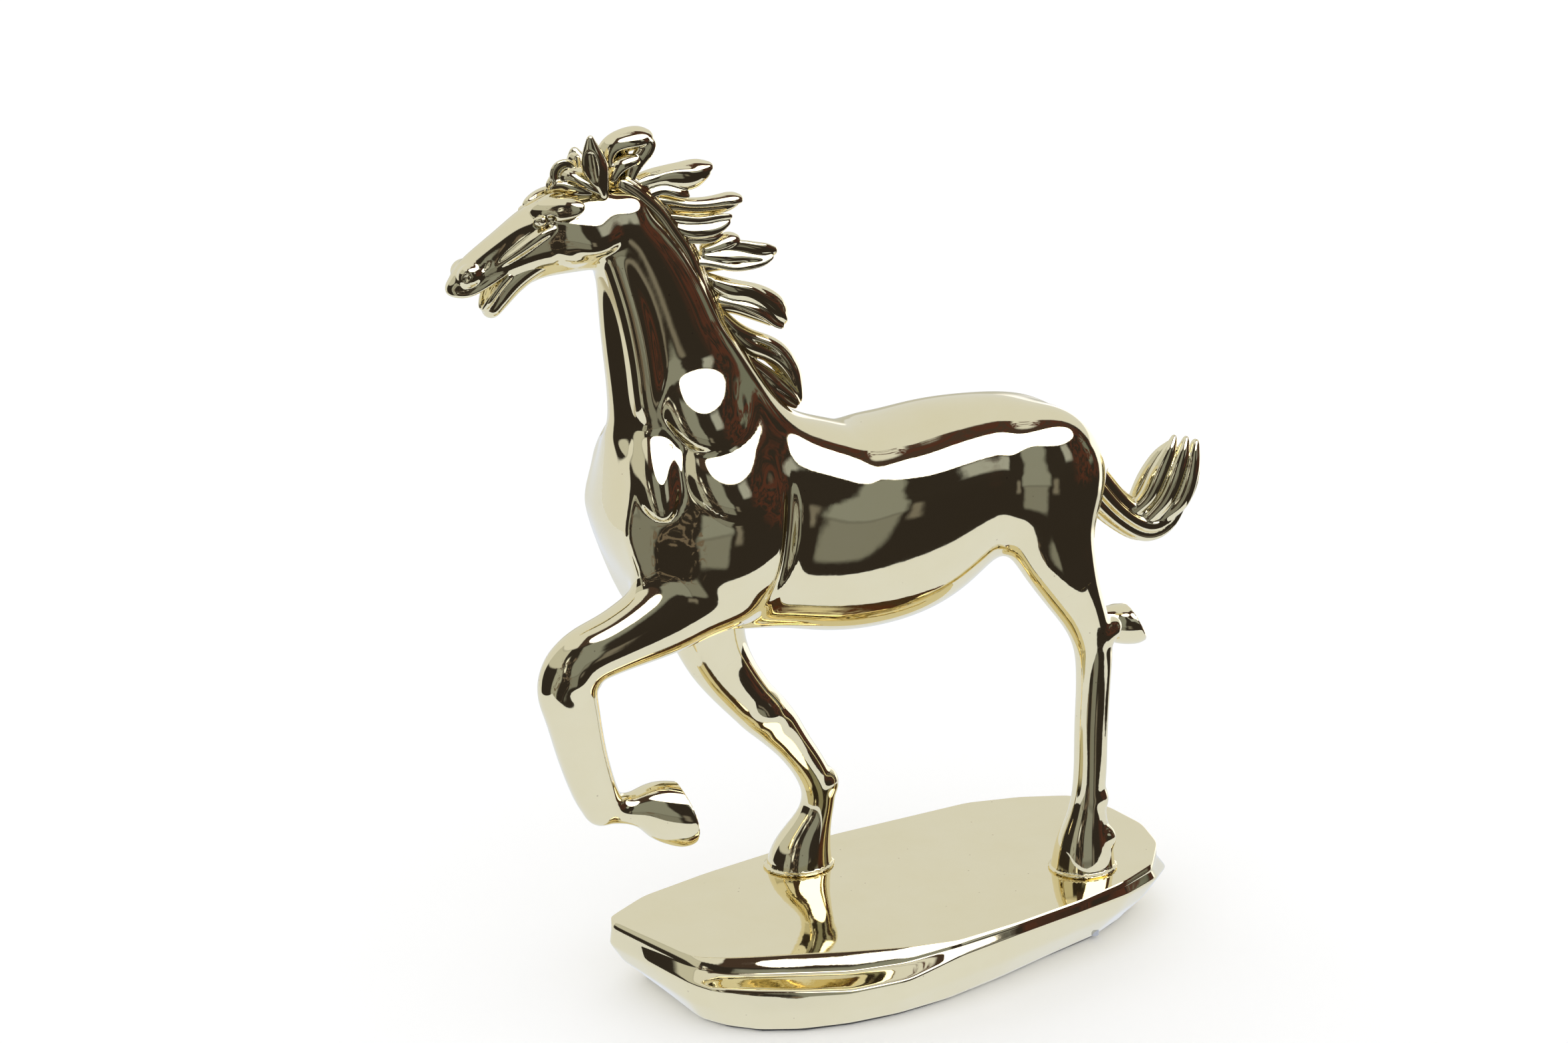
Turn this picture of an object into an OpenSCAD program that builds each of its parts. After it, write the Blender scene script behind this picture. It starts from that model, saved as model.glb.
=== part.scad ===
// Prancing horse statuette: hollow castings pinned together on a rock-shaped base.
// The horse faces -X and its left side faces -Y. The origin is the centre of the
// base's underside, where the felt rests.

/* [Base] */
// Height of the base, felt included
base_h = 24; // [20:1:30]
// Thickness of the felt pad
felt_t = 1.6; // [1:0.1:3]
// Thickness of the steel plate that closes the base
cover_t = 1.5; // [1:0.5:2]
// Wall of the base casting
base_wall = 3.5; // [3:0.5:5]
// Gap between the felt's edge and the foot of the base wall
felt_inset = 1.2; // [0.5:0.1:3]

/* [Horse] */
// Place of the horse's own zero, under its withers, along the base
horse_x = -40; // [-44:1:-36]
// Distance of the horse's middle plane behind the base's middle
horse_y = 6; // [4:1:8]
// Half of the distance between the left and the right legs
track = 20; // [18:1:22]
// Wall of the hollow castings
wall = 3; // [2.5:0.5:3.5]

/* [Fixings] */
// Diameter of the dowels that join the legs to the body
dowel_d = 5; // [4:0.5:6]
// Length of a leg dowel
dowel_l = 20; // [14:1:24]
// Diameter of the dowel in the root of the tail
tail_dowel_d = 4; // [3:0.5:5]
// Diameter of the studs that hold the hooves to the base
stud_d = 5; // [4:1:6]
// Depth of a stud in its hoof
stud_in_hoof = 10; // [8:1:12]
// Shank diameter of the cover screws
screw_d = 3; // [2.5:0.5:3.5]

/* [Hidden] */

gold = [0.86, 0.77, 0.52];
steel = [0.6, 0.62, 0.64];
black = [0.06, 0.06, 0.07];

// A station is [x, y, z, half-width across, half-depth in the middle plane].
body = [[-65, 0, 161, 4, 5], [-62, 0, 163, 13, 15], [-54, 0, 163, 20, 26], [-38, 0, 163, 25, 33],
    [-18, 0, 162, 27, 36], [2, 0, 160, 28, 36], [22, 0, 155, 29, 35], [42, 0, 158, 28.5, 35.5],
    [60, 0, 165, 26.5, 31], [77, 0, 169, 25.5, 26.5], [92, 0, 169, 25, 22], [104, 0, 168.5, 21, 16.5],
    [113, 0, 166.5, 13, 9], [117.5, 0, 165.5, 4, 3]];
neck_line = [[-26, 0, 172, 24, 35], [-30.5, 0, 190, 20.5, 31.5], [-35.3, 0, 207, 16.5, 26.3],
    [-41, 0, 224.5, 13.6, 21.3], [-45, 0, 239.5, 12.2, 18.7], [-49, 0, 251.5, 11.3, 15.6],
    [-54, 0, 261, 10.8, 12.8], [-60, 0, 267, 9.5, 11], [-65, 0, 269, 6, 8]];
head_line = [[-54, 0, 269.5, 7.5, 8.5], [-58.5, 0, 268, 9.8, 11.6], [-66.5, 0, 267.3, 11.4, 13.4],
    [-75.5, 0, 266, 11.6, 13.2], [-84, 0, 263, 10.2, 11.8], [-91, 0, 260.5, 8.3, 9.8],
    [-97.5, 0, 258.5, 7.2, 8], [-103.5, 0, 255.7, 7, 6.8], [-108.3, 0, 252.6, 5.8, 5],
    [-110.8, 0, 250.8, 2.6, 2.2]];
jaw_line = [[-80, 0, 257, 6.5, 5], [-87, 0, 252.5, 6, 4.2], [-92.5, 0, 248.2, 5.2, 3.6],
    [-96.8, 0, 244.2, 4.6, 2.9], [-99.6, 0, 241.8, 3, 1.6]];
fore_standing = [[-30, 13, 148, 10, 17], [-23, 17, 127, 9.5, 14.5], [-16, track, 107, 8.6, 11.2],
    [-5, track, 90.5, 7.6, 8.9], [5, track, 80.5, 7.6, 8.6], [12.5, track, 70, 5.8, 6.4],
    [18.5, track, 60, 5.8, 6.4], [21.5, track, 49.5, 7, 8.4], [18, track, 40.5, 7.6, 9.4],
    [14.5, track, 33.5, 9.8, 12], [13.5, track, 22, 10.6, 12.6]];
fore_raised = [[-26, -12, 152, 10, 17], [-42, -17, 143, 10, 15.5], [-56, -track, 138.6, 9.2, 12.6],
    [-68, -track, 135.3, 8.2, 10.2], [-78, -track, 132, 7.8, 9.6], [-83, -track, 124.5, 7.8, 10.2],
    [-81.5, -track, 112, 6.6, 8.8], [-79, -track, 99, 6.2, 8], [-75, -track, 86.5, 6.2, 7.8],
    [-71.5, -track, 77.5, 6.6, 7.4], [-65, -track, 74, 5.8, 5.6], [-59, -track, 72.8, 5.6, 5.6],
    [-53, -track, 71.6, 7.2, 7.6], [-48.5, -track, 71, 8.2, 9.3], [-45.8, -track, 71, 8.6, 9.8]];
hind_standing = [[88, -11, 178, 13, 17], [88, -15, 162, 12, 18], [92, -19, 145, 10.2, 15],
    [98, -track, 130.5, 8.8, 11.2], [105, -track, 117, 7, 8.2], [109.5, -track, 105.5, 6.6, 7.3],
    [110.5, -track, 92, 5.4, 6.4], [110, -track, 76, 5.3, 6.6], [109.3, -track, 61, 5.3, 6.5],
    [108.6, -track, 50, 6.3, 7.8], [108, -track, 41.5, 7.6, 9.9], [107.5, -track, 34, 9.8, 12.3],
    [107, -track, 22, 10.4, 12.3]];
hind_raised = [[84, 10, 174, 13, 18], [74, 14.5, 158, 12, 18], [83, 18, 148, 10.4, 13],
    [93, track, 142, 8.4, 10], [103, track, 136.5, 7, 8.6], [110, track, 128, 6, 7.2],
    [115.5, track, 117, 5.3, 6.2], [120.5, track, 107, 5.2, 5.8], [125.5, track, 99.5, 5.8, 6.4],
    [131, track, 96, 5.4, 5.4], [136, track, 96.6, 5.8, 6.2], [139.8, track, 99.4, 6.4, 7.2],
    [141.8, track, 101.4, 6.6, 7.4]];
// Ring numbers where the castings part, counted along the refined stations.
refine = 2;
neck_foot = 2 * refine;
neck_top = 5 * refine;
fore_standing_joint = 2 * refine;
fore_raised_joint = 3 * refine;
hind_joint = 3 * refine;

tail_line = [[108, 0, 168, 5, 6], [116, 0, 160, 6, 7.4], [123, 0, 151, 5.6, 6.6],
    [130.5, 0, 144.6, 5.4, 6.2], [138.5, 0, 141.8, 6.2, 7.6], [146, 0, 146.5, 6.4, 8.2],
    [150, 0, 155.5, 5.6, 7.6], [152.5, 0, 163, 4, 5.4], [153.8, 0, 168.3, 1.4, 2]];
comb_line = [[-58.5, 0, 276, 2.4, 2.6], [-52.5, 0, 273, 4, 4], [-44, 0, 266, 4.4, 4.2],
    [-36, 0, 255, 4.6, 4.4], [-29, 0, 242.5, 4.6, 4.4], [-22, 0, 229, 4.8, 4.4],
    [-14, 0, 215, 4.6, 4.2], [-5, 0, 203, 3.8, 3.6], [5, 0, 194, 2, 2]];
poll_curl = [[-56, -1, 272, 3.2, 4.2], [-56.5, -1, 281, 4, 4.2], [-56, -3, 289, 4.6, 5.2],
    [-51, -3, 292.2, 4, 4.4], [-46.6, -3, 292.8, 2.4, 2.6]];
lock_1 = [[-48, 0, 268, 4, 6], [-41, -1, 273.5, 4.6, 6.6], [-34, -1, 277.5, 4.2, 5.4],
    [-28, -2, 280.6, 3, 3], [-25, -2, 282, 1, 1]];
lock_2 = [[-41, 0, 256.5, 4.2, 5.6], [-33, 1, 261.5, 5, 6.6], [-25, 1, 266.5, 4.2, 5.6],
    [-18, 1, 269, 2.8, 2.6], [-15, 1, 270, 1, 1]];
lock_3 = [[-34, 0, 245, 4.4, 7], [-25, -1, 248, 5.2, 8], [-16, -1, 250, 4.6, 6.2],
    [-8, -2, 251.4, 3, 3], [-3.4, -2, 252, 1, 1]];
lock_4 = [[-26, 0, 229, 4.4, 7], [-18, 1, 230.5, 5.2, 8], [-10, 1, 230.5, 4.8, 7],
    [-3, 1, 229, 3.4, 4.6], [1, 1, 228, 1.2, 1.8]];
lock_5 = [[-19, 0, 217, 4.4, 5], [-10, -1, 214.5, 5, 6.4], [-1, -1, 209.6, 4.8, 6.4],
    [4, -1, 204.5, 3.6, 4.4], [6, -1, 199.5, 1.4, 1.6]];
fringe_line = [[-65, -1, 279, 2, 3.6], [-68, -1, 283.5, 2.4, 4.2], [-72, -2, 285.3, 4.4, 4],
    [-76.5, -2, 284.8, 4, 2.8], [-79.5, -1, 283, 1.6, 1]];

// The base's outline, point by point: [x, y] of the top edge, [x, y, z] of the widest
// line and [x, y] of the foot. The near side has a long chamfer from x = -80 to x = 0.
rock = [
    [[-102, 12], [-103, 12, 15], [-91, 11]],
    [[-95, -3], [-97, -5, 15], [-88, -4]],
    [[-84, -25], [-89, -28, 16], [-84, -27]],
    [[-72, -28], [-83, -36, 16], [-78, -35]],
    [[-62, -30], [-70, -42, 15.5], [-69, -42]],
    [[-50, -32.5], [-56, -47, 15], [-56, -47]],
    [[-34, -37], [-40, -52, 14.5], [-40, -49.5]],
    [[-17, -43], [-20, -54, 15.5], [-22, -49.5]],
    [[0, -48], [0, -51.5, 19], [-2, -46.5]],
    [[25, -44], [25, -46.5, 20], [20, -40]],
    [[53, -37], [53, -39.5, 20], [45, -31]],
    [[73, -30], [75, -32, 19], [66, -24]],
    [[88, -22], [91, -23, 18], [80, -16]],
    [[96, -8], [105, -6, 13], [91, -7]],
    [[101, 8], [104, 9, 15], [93, 7]],
    [[98, 26], [99, 27, 16], [90, 23]],
    [[90, 40], [91, 42, 16], [83, 35]],
    [[72, 46], [73, 48, 16], [67, 41]],
    [[52, 49], [52, 51, 16], [48, 43]],
    [[24, 46], [24, 48, 16], [22, 40]],
    [[-4, 43], [-4, 45, 16], [-3, 37]],
    [[-30, 38], [-31, 40, 16], [-28, 32]],
    [[-58, 31], [-60, 33, 16], [-55, 25]],
    [[-84, 23], [-87, 24, 15], [-80, 18]]];
foot_z = felt_t;
roof_z = base_h - base_wall;
screw_spots = [[-68, -12], [66, -24], [70, 28], [-48, 20]];
boss_d = 9;
screw_l = 12;
nut_across_flats = 1.6 * stud_d;
nut_h = 0.8 * stud_d;
washer_d = 2.2 * stud_d;
washer_t = 1;
stud_below = washer_t + nut_h + 3;
hoof_spots = [[14, track], [104, -track + 3]];
sides = 18;

// Catmull-Rom value between b and c, and a list of stations made finer with it
function between(a, b, c, d, t) = b + ((c - a) * t + (2 * a - 5 * b + 4 * c - d) * t * t
    + (3 * b - a - 3 * c + d) * t * t * t) / 2;
function finer(list, k) = let (n = len(list)) [
    for (i = [0 : n - 2], j = [0 : k - 1])
        between(list[max(i - 1, 0)], list[i], list[i + 1], list[min(i + 2, n - 1)], j / k),
    list[n - 1]];
function slice(list, from, to) = [for (i = [from : to]) list[i]];
// Direction of a line of stations at station i, in the XZ plane
function heading(list, i) = let (
    d = list[min(i + 1, len(list) - 1)] - list[max(i - 1, 0)],
    l = norm([d[0], d[2]])) [d[0] / l, 0, d[2] / l];
// Ring of points round one station, all radii less by inset
function ring(s, t, inset) = [for (j = [0 : sides - 1]) let (a = 360 * j / sides,
    across = max(s[3] - inset, 0.4) * cos(a), deep = max(s[4] - inset, 0.4) * sin(a))
    [s[0] - t[2] * deep, s[1] + across, s[2] + t[0] * deep]];
function rings(list, from, to, inset) = [for (i = [from : to]) ring(list[i], heading(list, i), inset)];
// The base's outlines, and its recess, which keeps the wall's thickness everywhere
top_edge = [for (p = rock) [p[0][0], p[0][1], base_h]];
widest = [for (p = rock) p[1]];
foot = [for (p = rock) [p[2][0], p[2][1], foot_z]];
function drawn_in(p, by) = p * (1 - by / norm(p));
felt_edge = [for (p = rock) drawn_in(p[2], felt_inset)];
recess = [for (p = rock) drawn_in(norm(p[0]) < norm(p[2]) ? p[0] : p[2], base_wall + 0.5)];

// Closed skin through a list of rings that all have n points
module skin(r) {
    n = len(r[0]);
    last = len(r) - 1;
    sidewall = [for (i = [0 : last - 1], j = [0 : n - 1]) let (k = (j + 1) % n,
        a = i * n + j, b = i * n + k, c = a + n, d = b + n) each [[a, c, d], [a, d, b]]];
    polyhedron([for (p = r) each p], concat(sidewall,
        [[for (j = [0 : n - 1]) j]], [[for (j = [0 : n - 1]) last * n + n - 1 - j]]), convexity = 6);
}

// A loft along stations, from one refined ring to another
module limb(line, from = 0, to = -1, inset = 0) {
    fine = finer(line, refine);
    skin(rings(fine, from, to < 0 ? len(fine) - 1 : to, inset));
}

// Its children joined into one closed mesh at their own size
module cast() resize([0, 0, 0]) children();

module placed() translate([horse_x, horse_y, 0]) children();

// Puts its children at a refined station, +Z along the limb
module at_ring(line, i) {
    fine = finer(line, refine);
    t = heading(fine, i);
    translate([fine[i][0], fine[i][1], fine[i][2]]) rotate([0, atan2(t[0], t[2]), 0]) children();
}

module leg_dowel(line, i) at_ring(line, i) cylinder(d = dowel_d, h = dowel_l, center = true, $fn = 32);

module fore_dowels() {
    leg_dowel(fore_standing, fore_standing_joint);
    leg_dowel(fore_raised, fore_raised_joint);
}

module hind_dowels() {
    leg_dowel(hind_standing, hind_joint);
    leg_dowel(hind_raised, hind_joint);
}

module tail_pin() at_ring(tail_line, refine)
    translate([0, 0, -8]) cylinder(d = tail_dowel_d, h = 18, $fn = 32);

// All that lies below the top of the base
module under_hooves() translate([-150, -100, base_h - 40]) cube([350, 200, 40]);

module studs() for (p = hoof_spots) translate([p[0], p[1], roof_z - stud_below])
    cylinder(d = stud_d, h = base_wall + stud_below + stud_in_hoof, $fn = 32);

module body_form() {
    limb(body);
    limb(neck_line, 0, neck_foot);
    limb(fore_standing, 0, fore_standing_joint);
    limb(fore_raised, 0, fore_raised_joint);
    limb(hind_standing, 0, hind_joint);
    limb(hind_raised, 0, hind_joint);
}

module torso() color(gold) placed() difference() {
    cast() difference() {
        body_form();
        limb(body, refine + 1, 10 * refine, wall);
        limb(neck_line, 0, neck_foot + 1, wall);
    }
    fore_dowels();
    hind_dowels();
    tail_pin();
}

module neck() color(gold) placed() cast() difference() {
    union() {
        limb(neck_line, neck_foot, neck_top);
        limb(neck_line, neck_foot - 1, neck_foot, wall);
    }
    limb(neck_line, neck_foot - 2, neck_foot + 1, 2 * wall);
    limb(neck_line, neck_foot + 1, neck_top + 1, wall);
}

module skull() {
    limb(head_line);
    limb(neck_line, neck_top);
}

module head() color(gold) placed() cast() difference() {
    union() {
        skull();
        limb(neck_line, neck_top - 1, neck_top, wall);
    }
    limb(neck_line, neck_top - 2, neck_top + 1, 2 * wall);
    limb(neck_line, neck_top + 1, neck_top + 4, wall);
    limb(head_line, 2, 5 * refine, wall);
}

module lower_jaw() color(gold) placed() cast() difference() {
    limb(jaw_line);
    skull();
}

// Leaf-shaped ear; side is -1 for the left and 1 for the right
module ear(side) color(gold) placed() cast() difference() {
    limb([[-63.5, side * 5.5, 274, 3, 4], [-64.5, side * 7, 281, 3.4, 4.8],
        [-66.5, side * 8, 288, 2.6, 3.8], [-68.5, side * 8, side < 0 ? 296 : 291, 1, 1.2]]);
    skull();
}

module left_ear() ear(-1);
module right_ear() ear(1);

// The comb stands on the skull, neck and withers, without what those castings fill
module mane_comb() color(gold) placed() cast() difference() {
    limb(comb_line);
    skull();
    limb(neck_line);
    limb(body);
}

// A lock grows out of the comb and the castings below it
module lock(line) color(gold) placed() cast() difference() {
    limb(line);
    skull();
    limb(neck_line);
    limb(body);
    limb(comb_line);
}

module forelock() color(gold) placed() cast() difference() {
    limb(fringe_line);
    skull();
}

module poll_lock() lock(poll_curl);
module mane_lock_1() lock(lock_1);
module mane_lock_2() lock(lock_2);
module mane_lock_3() lock(lock_3);
module mane_lock_4() lock(lock_4);
module mane_lock_5() lock(lock_5);

module tail() color(gold) placed() difference() {
    cast() difference() {
        limb(tail_line);
        limb(body);
    }
    tail_pin();
}

module left_foreleg() color(gold) placed() difference() {
    limb(fore_raised, fore_raised_joint);
    leg_dowel(fore_raised, fore_raised_joint);
}

module right_foreleg() color(gold) placed() difference() {
    limb(fore_standing, fore_standing_joint);
    leg_dowel(fore_standing, fore_standing_joint);
    under_hooves();
    studs();
}

module left_hind_leg() color(gold) placed() difference() {
    limb(hind_standing, hind_joint);
    leg_dowel(hind_standing, hind_joint);
    under_hooves();
    studs();
}

module right_hind_leg() color(gold) placed() difference() {
    limb(hind_raised, hind_joint);
    leg_dowel(hind_raised, hind_joint);
}

module foreleg_dowels() color(steel) placed() fore_dowels();
module hind_leg_dowels() color(steel) placed() hind_dowels();
module tail_dowel() color(steel) placed() tail_pin();

module cover_holes(d) for (p = screw_spots) translate([p[0], p[1], foot_z - 1])
    cylinder(d = d, h = screw_l + 1, $fn = 32);

// The cover lies in the mouth of the recess; round posts stand beside it for the screws.
module base_shell() color(gold) difference() {
    skin([foot, widest, top_edge]);
    translate([0, 0, foot_z - 1]) linear_extrude(cover_t + 1) polygon(recess);
    translate([0, 0, foot_z]) linear_extrude(roof_z - foot_z) difference() {
        polygon(recess);
        for (p = screw_spots) translate(p) circle(d = boss_d, $fn = 32);
    }
    cover_holes(screw_d);
    placed() studs();
}

module base_cover() color(steel) difference() {
    translate([0, 0, foot_z]) linear_extrude(cover_t) polygon(recess);
    cover_holes(screw_d);
}

module felt_pad() color(black) linear_extrude(felt_t) polygon(felt_edge);

module hoof_studs() color(steel) placed() studs();

module hoof_washers() color(steel) placed() for (p = hoof_spots)
    translate([p[0], p[1], roof_z - washer_t]) difference() {
        cylinder(d = washer_d, h = washer_t, $fn = 48);
        translate([0, 0, -1]) cylinder(d = stud_d, h = washer_t + 2, $fn = 32);
    }

module hoof_nuts() color(steel) placed() for (p = hoof_spots)
    translate([p[0], p[1], roof_z - washer_t - nut_h]) difference() {
        cylinder(d = nut_across_flats / cos(30), h = nut_h, $fn = 6);
        translate([0, 0, -1]) cylinder(d = stud_d, h = nut_h + 2, $fn = 32);
    }

module cover_screws() color(steel) for (p = screw_spots) translate([p[0], p[1], foot_z])
    cylinder(d = screw_d, h = screw_l, $fn = 32);

torso();
neck();
head();
lower_jaw();
left_ear();
right_ear();
forelock();
poll_lock();
mane_comb();
mane_lock_1();
mane_lock_2();
mane_lock_3();
mane_lock_4();
mane_lock_5();
tail();
left_foreleg();
right_foreleg();
left_hind_leg();
right_hind_leg();
foreleg_dowels();
hind_leg_dowels();
tail_dowel();
base_shell();
base_cover();
felt_pad();
hoof_studs();
hoof_washers();
hoof_nuts();
cover_screws();
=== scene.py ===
# Horse statuette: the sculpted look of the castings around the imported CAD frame.
# Lengths in the sculpting code are millimetres in the horse's own axes: x back from the
# withers, y across, z up from the table. Blender objects are in metres.
import bpy
import bmesh
import math
import numpy as np
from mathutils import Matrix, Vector

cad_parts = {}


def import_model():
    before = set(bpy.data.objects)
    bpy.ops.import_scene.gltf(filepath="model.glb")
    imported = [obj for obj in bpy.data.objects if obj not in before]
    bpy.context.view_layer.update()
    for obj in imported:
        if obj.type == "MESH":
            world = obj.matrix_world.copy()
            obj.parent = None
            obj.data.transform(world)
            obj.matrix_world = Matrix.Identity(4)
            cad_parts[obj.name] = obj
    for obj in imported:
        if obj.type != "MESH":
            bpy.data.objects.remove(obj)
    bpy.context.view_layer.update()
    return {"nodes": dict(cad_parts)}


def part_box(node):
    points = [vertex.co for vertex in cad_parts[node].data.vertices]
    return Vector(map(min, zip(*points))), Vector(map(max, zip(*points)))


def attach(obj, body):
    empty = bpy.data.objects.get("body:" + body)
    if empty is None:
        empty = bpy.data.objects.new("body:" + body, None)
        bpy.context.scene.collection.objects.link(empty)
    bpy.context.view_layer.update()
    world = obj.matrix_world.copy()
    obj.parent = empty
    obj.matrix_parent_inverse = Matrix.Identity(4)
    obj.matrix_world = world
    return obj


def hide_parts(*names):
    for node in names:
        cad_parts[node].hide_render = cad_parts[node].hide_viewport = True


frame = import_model()

MM = 0.001
HORSE = np.array([-40.0, 6.0, 0.0])      # the horse's own zero in the frame
BASE_TOP = 24.0                          # height of the plinth's top face
DETAIL = 1.0       # coarser meshes while trying things
FAR = 60.0                               # field value well away from a shape


# ---------------------------------------------------------------- field shapes

def smooth_min(a, b, k):
    h = np.maximum(k - np.abs(a - b), 0.0) / k
    return np.minimum(a, b) - h * h * h * k / 6.0


def smooth_max(a, b, k):
    return -smooth_min(-a, -b, k)


def catmull(stations, step):
    """Stations joined by a smooth curve, resampled every `step` mm and evened out."""
    s = np.array(stations, float)
    pad = np.vstack([2 * s[0] - s[1], s, 2 * s[-1] - s[-2]])
    rows = []
    for i in range(len(s) - 1):
        a, b, c, d = pad[i:i + 4]
        for t in np.linspace(0, 1, 24, endpoint=False):
            rows.append(b + ((c - a) * t + (2 * a - 5 * b + 4 * c - d) * t * t
                             + (3 * b - a - 3 * c + d) * t ** 3) / 2)
    rows.append(s[-1])
    rows = np.array(rows)
    arc = np.r_[0, np.cumsum(np.linalg.norm(np.diff(rows[:, :3], axis=0), axis=1))]
    n = max(int(arc[-1] / step) + 1, 4)
    at = np.linspace(0, arc[-1], n)
    out = np.stack([np.interp(at, arc, rows[:, j]) for j in range(rows.shape[1])], 1)
    for _ in range(4):
        mid = 0.25 * out[:-2] + 0.5 * out[1:-1] + 0.25 * out[2:]
        out[1:-1] = mid
    return out


class Limb:
    """Tube of elliptical section along a curve.

    A station is x, y, z, half-width across, half-depth, and optionally taper (how much
    wider it gets towards +depth) and power (2 is an ellipse, more is boxier).
    """

    def __init__(self, stations, step=2.0, soft=1.3, end=1.0, flutes=None, tilt=0.0):
        full = [list(s) + [0.0, 2.0][len(s) - 5:] if len(s) < 7 else list(s) for s in stations]
        tab = catmull(full, step)
        d = np.gradient(tab[:, :3], axis=0)
        d /= np.linalg.norm(d, axis=1)[:, None]
        arc = np.linspace(0, 1, len(tab))[:, None]
        self.table = np.hstack([tab, d, arc, np.ones((len(tab), 1))]).astype(np.float32)
        self.flutes = flutes
        self.tilt = math.radians(tilt)
        self.sigma = step * soft
        self.end = end
        reach = tab[:, 3:5].max() + 14.0
        self.lo = tab[:, :3].min(0) - reach
        self.hi = tab[:, :3].max(0) + reach

    def __call__(self, p):
        out = np.full(len(p), FAR, np.float32)
        near = np.all((p > self.lo) & (p < self.hi), axis=1)
        idx = np.flatnonzero(near)
        c = self.table[:, :3]
        c2 = (c * c).sum(1)
        for k in range(0, len(idx), 40000):
            part = idx[k:k + 40000]
            q = p[part]
            d2 = c2 - 2.0 * (q @ c.T)
            d2 -= d2.min(1)[:, None]
            w = np.exp(d2 * (-0.5 / self.sigma ** 2))
            s = w @ self.table
            s /= s[:, -1:]
            r = q - s[:, :3]
            t = s[:, 7:10]
            t = t / np.linalg.norm(t, axis=1)[:, None]
            flat = np.hypot(t[:, 0], t[:, 2]) + 1e-6
            nx, nz = -t[:, 2] / flat, t[:, 0] / flat
            depth = r[:, 0] * nx + r[:, 2] * nz
            along = (r * t).sum(1)
            # across is at right angles to both the curve and the depth
            ax, ay, az = (t[:, 1] * nz, t[:, 2] * nx - t[:, 0] * nz, -t[:, 1] * nx)
            side = -(r[:, 0] * ax + r[:, 1] * ay + r[:, 2] * az)
            if self.tilt:
                c_t, s_t = math.cos(self.tilt), math.sin(self.tilt)
                depth, side = depth * c_t + side * s_t, side * c_t - depth * s_t
            u = depth / s[:, 4]
            wide = s[:, 3] * (1.0 + s[:, 5] * np.clip(u, -1.3, 1.3))
            v = side / np.maximum(wide, 0.2)
            e = np.minimum(s[:, 3], s[:, 4]) * self.end
            pw = s[:, 6]
            ring = (np.abs(u) ** pw + np.abs(v) ** pw + 1e-9) ** (2.0 / pw)
            if self.flutes:
                count, depth, twist, phase = self.flutes
                turn = np.arctan2(v, u) * count + s[:, 10] * twist + phase
                groove = (0.5 + 0.5 * np.cos(turn)) ** 3
                ring = ring * (1.0 + depth * groove * np.clip(6 * (1.02 - s[:, 10]), 0, 1))
            size = np.sqrt(ring + (along / e) ** 2)
            length = np.sqrt(depth ** 2 + side ** 2 + along ** 2 + 1e-6)
            out[part] = length * (1.0 - 1.0 / np.maximum(size, 0.02))
        return out


class Blob:
    """Ellipsoid; turn is its tilt about Y in degrees (+ lifts its +x end), yaw about Z."""

    def __init__(self, at, radii, turn=0.0, yaw=0.0, axes=None):
        self.at = np.array(at, np.float32)
        self.radii = np.array(radii, np.float32)
        if axes is None:
            a, b = math.radians(turn), math.radians(yaw)
            ex = np.array([math.cos(a) * math.cos(b), math.cos(a) * math.sin(b), math.sin(a)])
            ey = np.array([-math.sin(b), math.cos(b), 0.0])
            axes = [ex, ey, np.cross(ex, ey)]
        self.axes = np.array(axes, np.float32).T
        self.reach = float(self.radii.max()) + 14.0

    def __call__(self, p):
        out = np.full(len(p), FAR, np.float32)
        r = p - self.at
        near = (np.abs(r) < self.reach).all(1)
        r = r[near] @ self.axes
        size = np.sqrt(((r / self.radii) ** 2).sum(1) + 1e-6)
        length = np.sqrt((r ** 2).sum(1) + 1e-6)
        out[near] = length * (1.0 - 1.0 / size)
        return out


def muscle(at, facing, radii, spin=0.0):
    """Lens of flesh on both flanks. `at` is the middle of its outer face on the left side,
    `facing` its azimuth and elevation in degrees, radii its length, height and thickness."""
    az, el, sp = (math.radians(v) for v in (*facing, spin))
    out = np.array([math.sin(az) * math.cos(el), -math.cos(az) * math.cos(el), math.sin(el)])
    along = np.array([math.cos(az), math.sin(az), 0.0])
    up = np.cross(out, along)
    first = along * math.cos(sp) + up * math.sin(sp)
    second = up * math.cos(sp) - along * math.sin(sp)
    centre = np.array(at) - out * radii[2]
    made = []
    for side in (1, -1):
        flip = np.array([1, side, 1])
        made.append(Blob(centre * flip, radii, axes=[first * flip, second * flip, out * flip]))
    return made


class Slab:
    """Everything beyond a plane, on the side its normal points to."""

    def __init__(self, point, normal):
        self.point = np.array(point, np.float32)
        self.normal = np.array(normal, np.float32) / np.linalg.norm(normal)

    def __call__(self, p):
        return -((p - self.point) @ self.normal).astype(np.float32)


def mirrored(at, radii, turn=0.0, yaw=0.0):
    """The same blob on both sides of the horse."""
    return [Blob((at[0], side * at[1], at[2]), radii, turn, side * yaw) for side in (-1, 1)]


class Sculpt:
    """Shapes added to and cut from each other in order, each with its own softness."""

    def __init__(self, first):
        self.steps = [(first, "add", 1.0)]

    def add(self, shape, soft):
        for s in shape if isinstance(shape, list) else [shape]:
            self.steps.append((s, "add", soft))
        return self

    def cut(self, shape, soft):
        for s in shape if isinstance(shape, list) else [shape]:
            self.steps.append((s, "cut", soft))
        return self

    def __call__(self, p):
        f = None
        for shape, how, soft in self.steps:
            g = shape(p)
            if f is None:
                f = g
            elif how == "add":
                f = smooth_min(f, g, soft)
            else:
                f = smooth_max(f, -g, soft)
        return f


# ---------------------------------------------------------------- surface from a field

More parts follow.
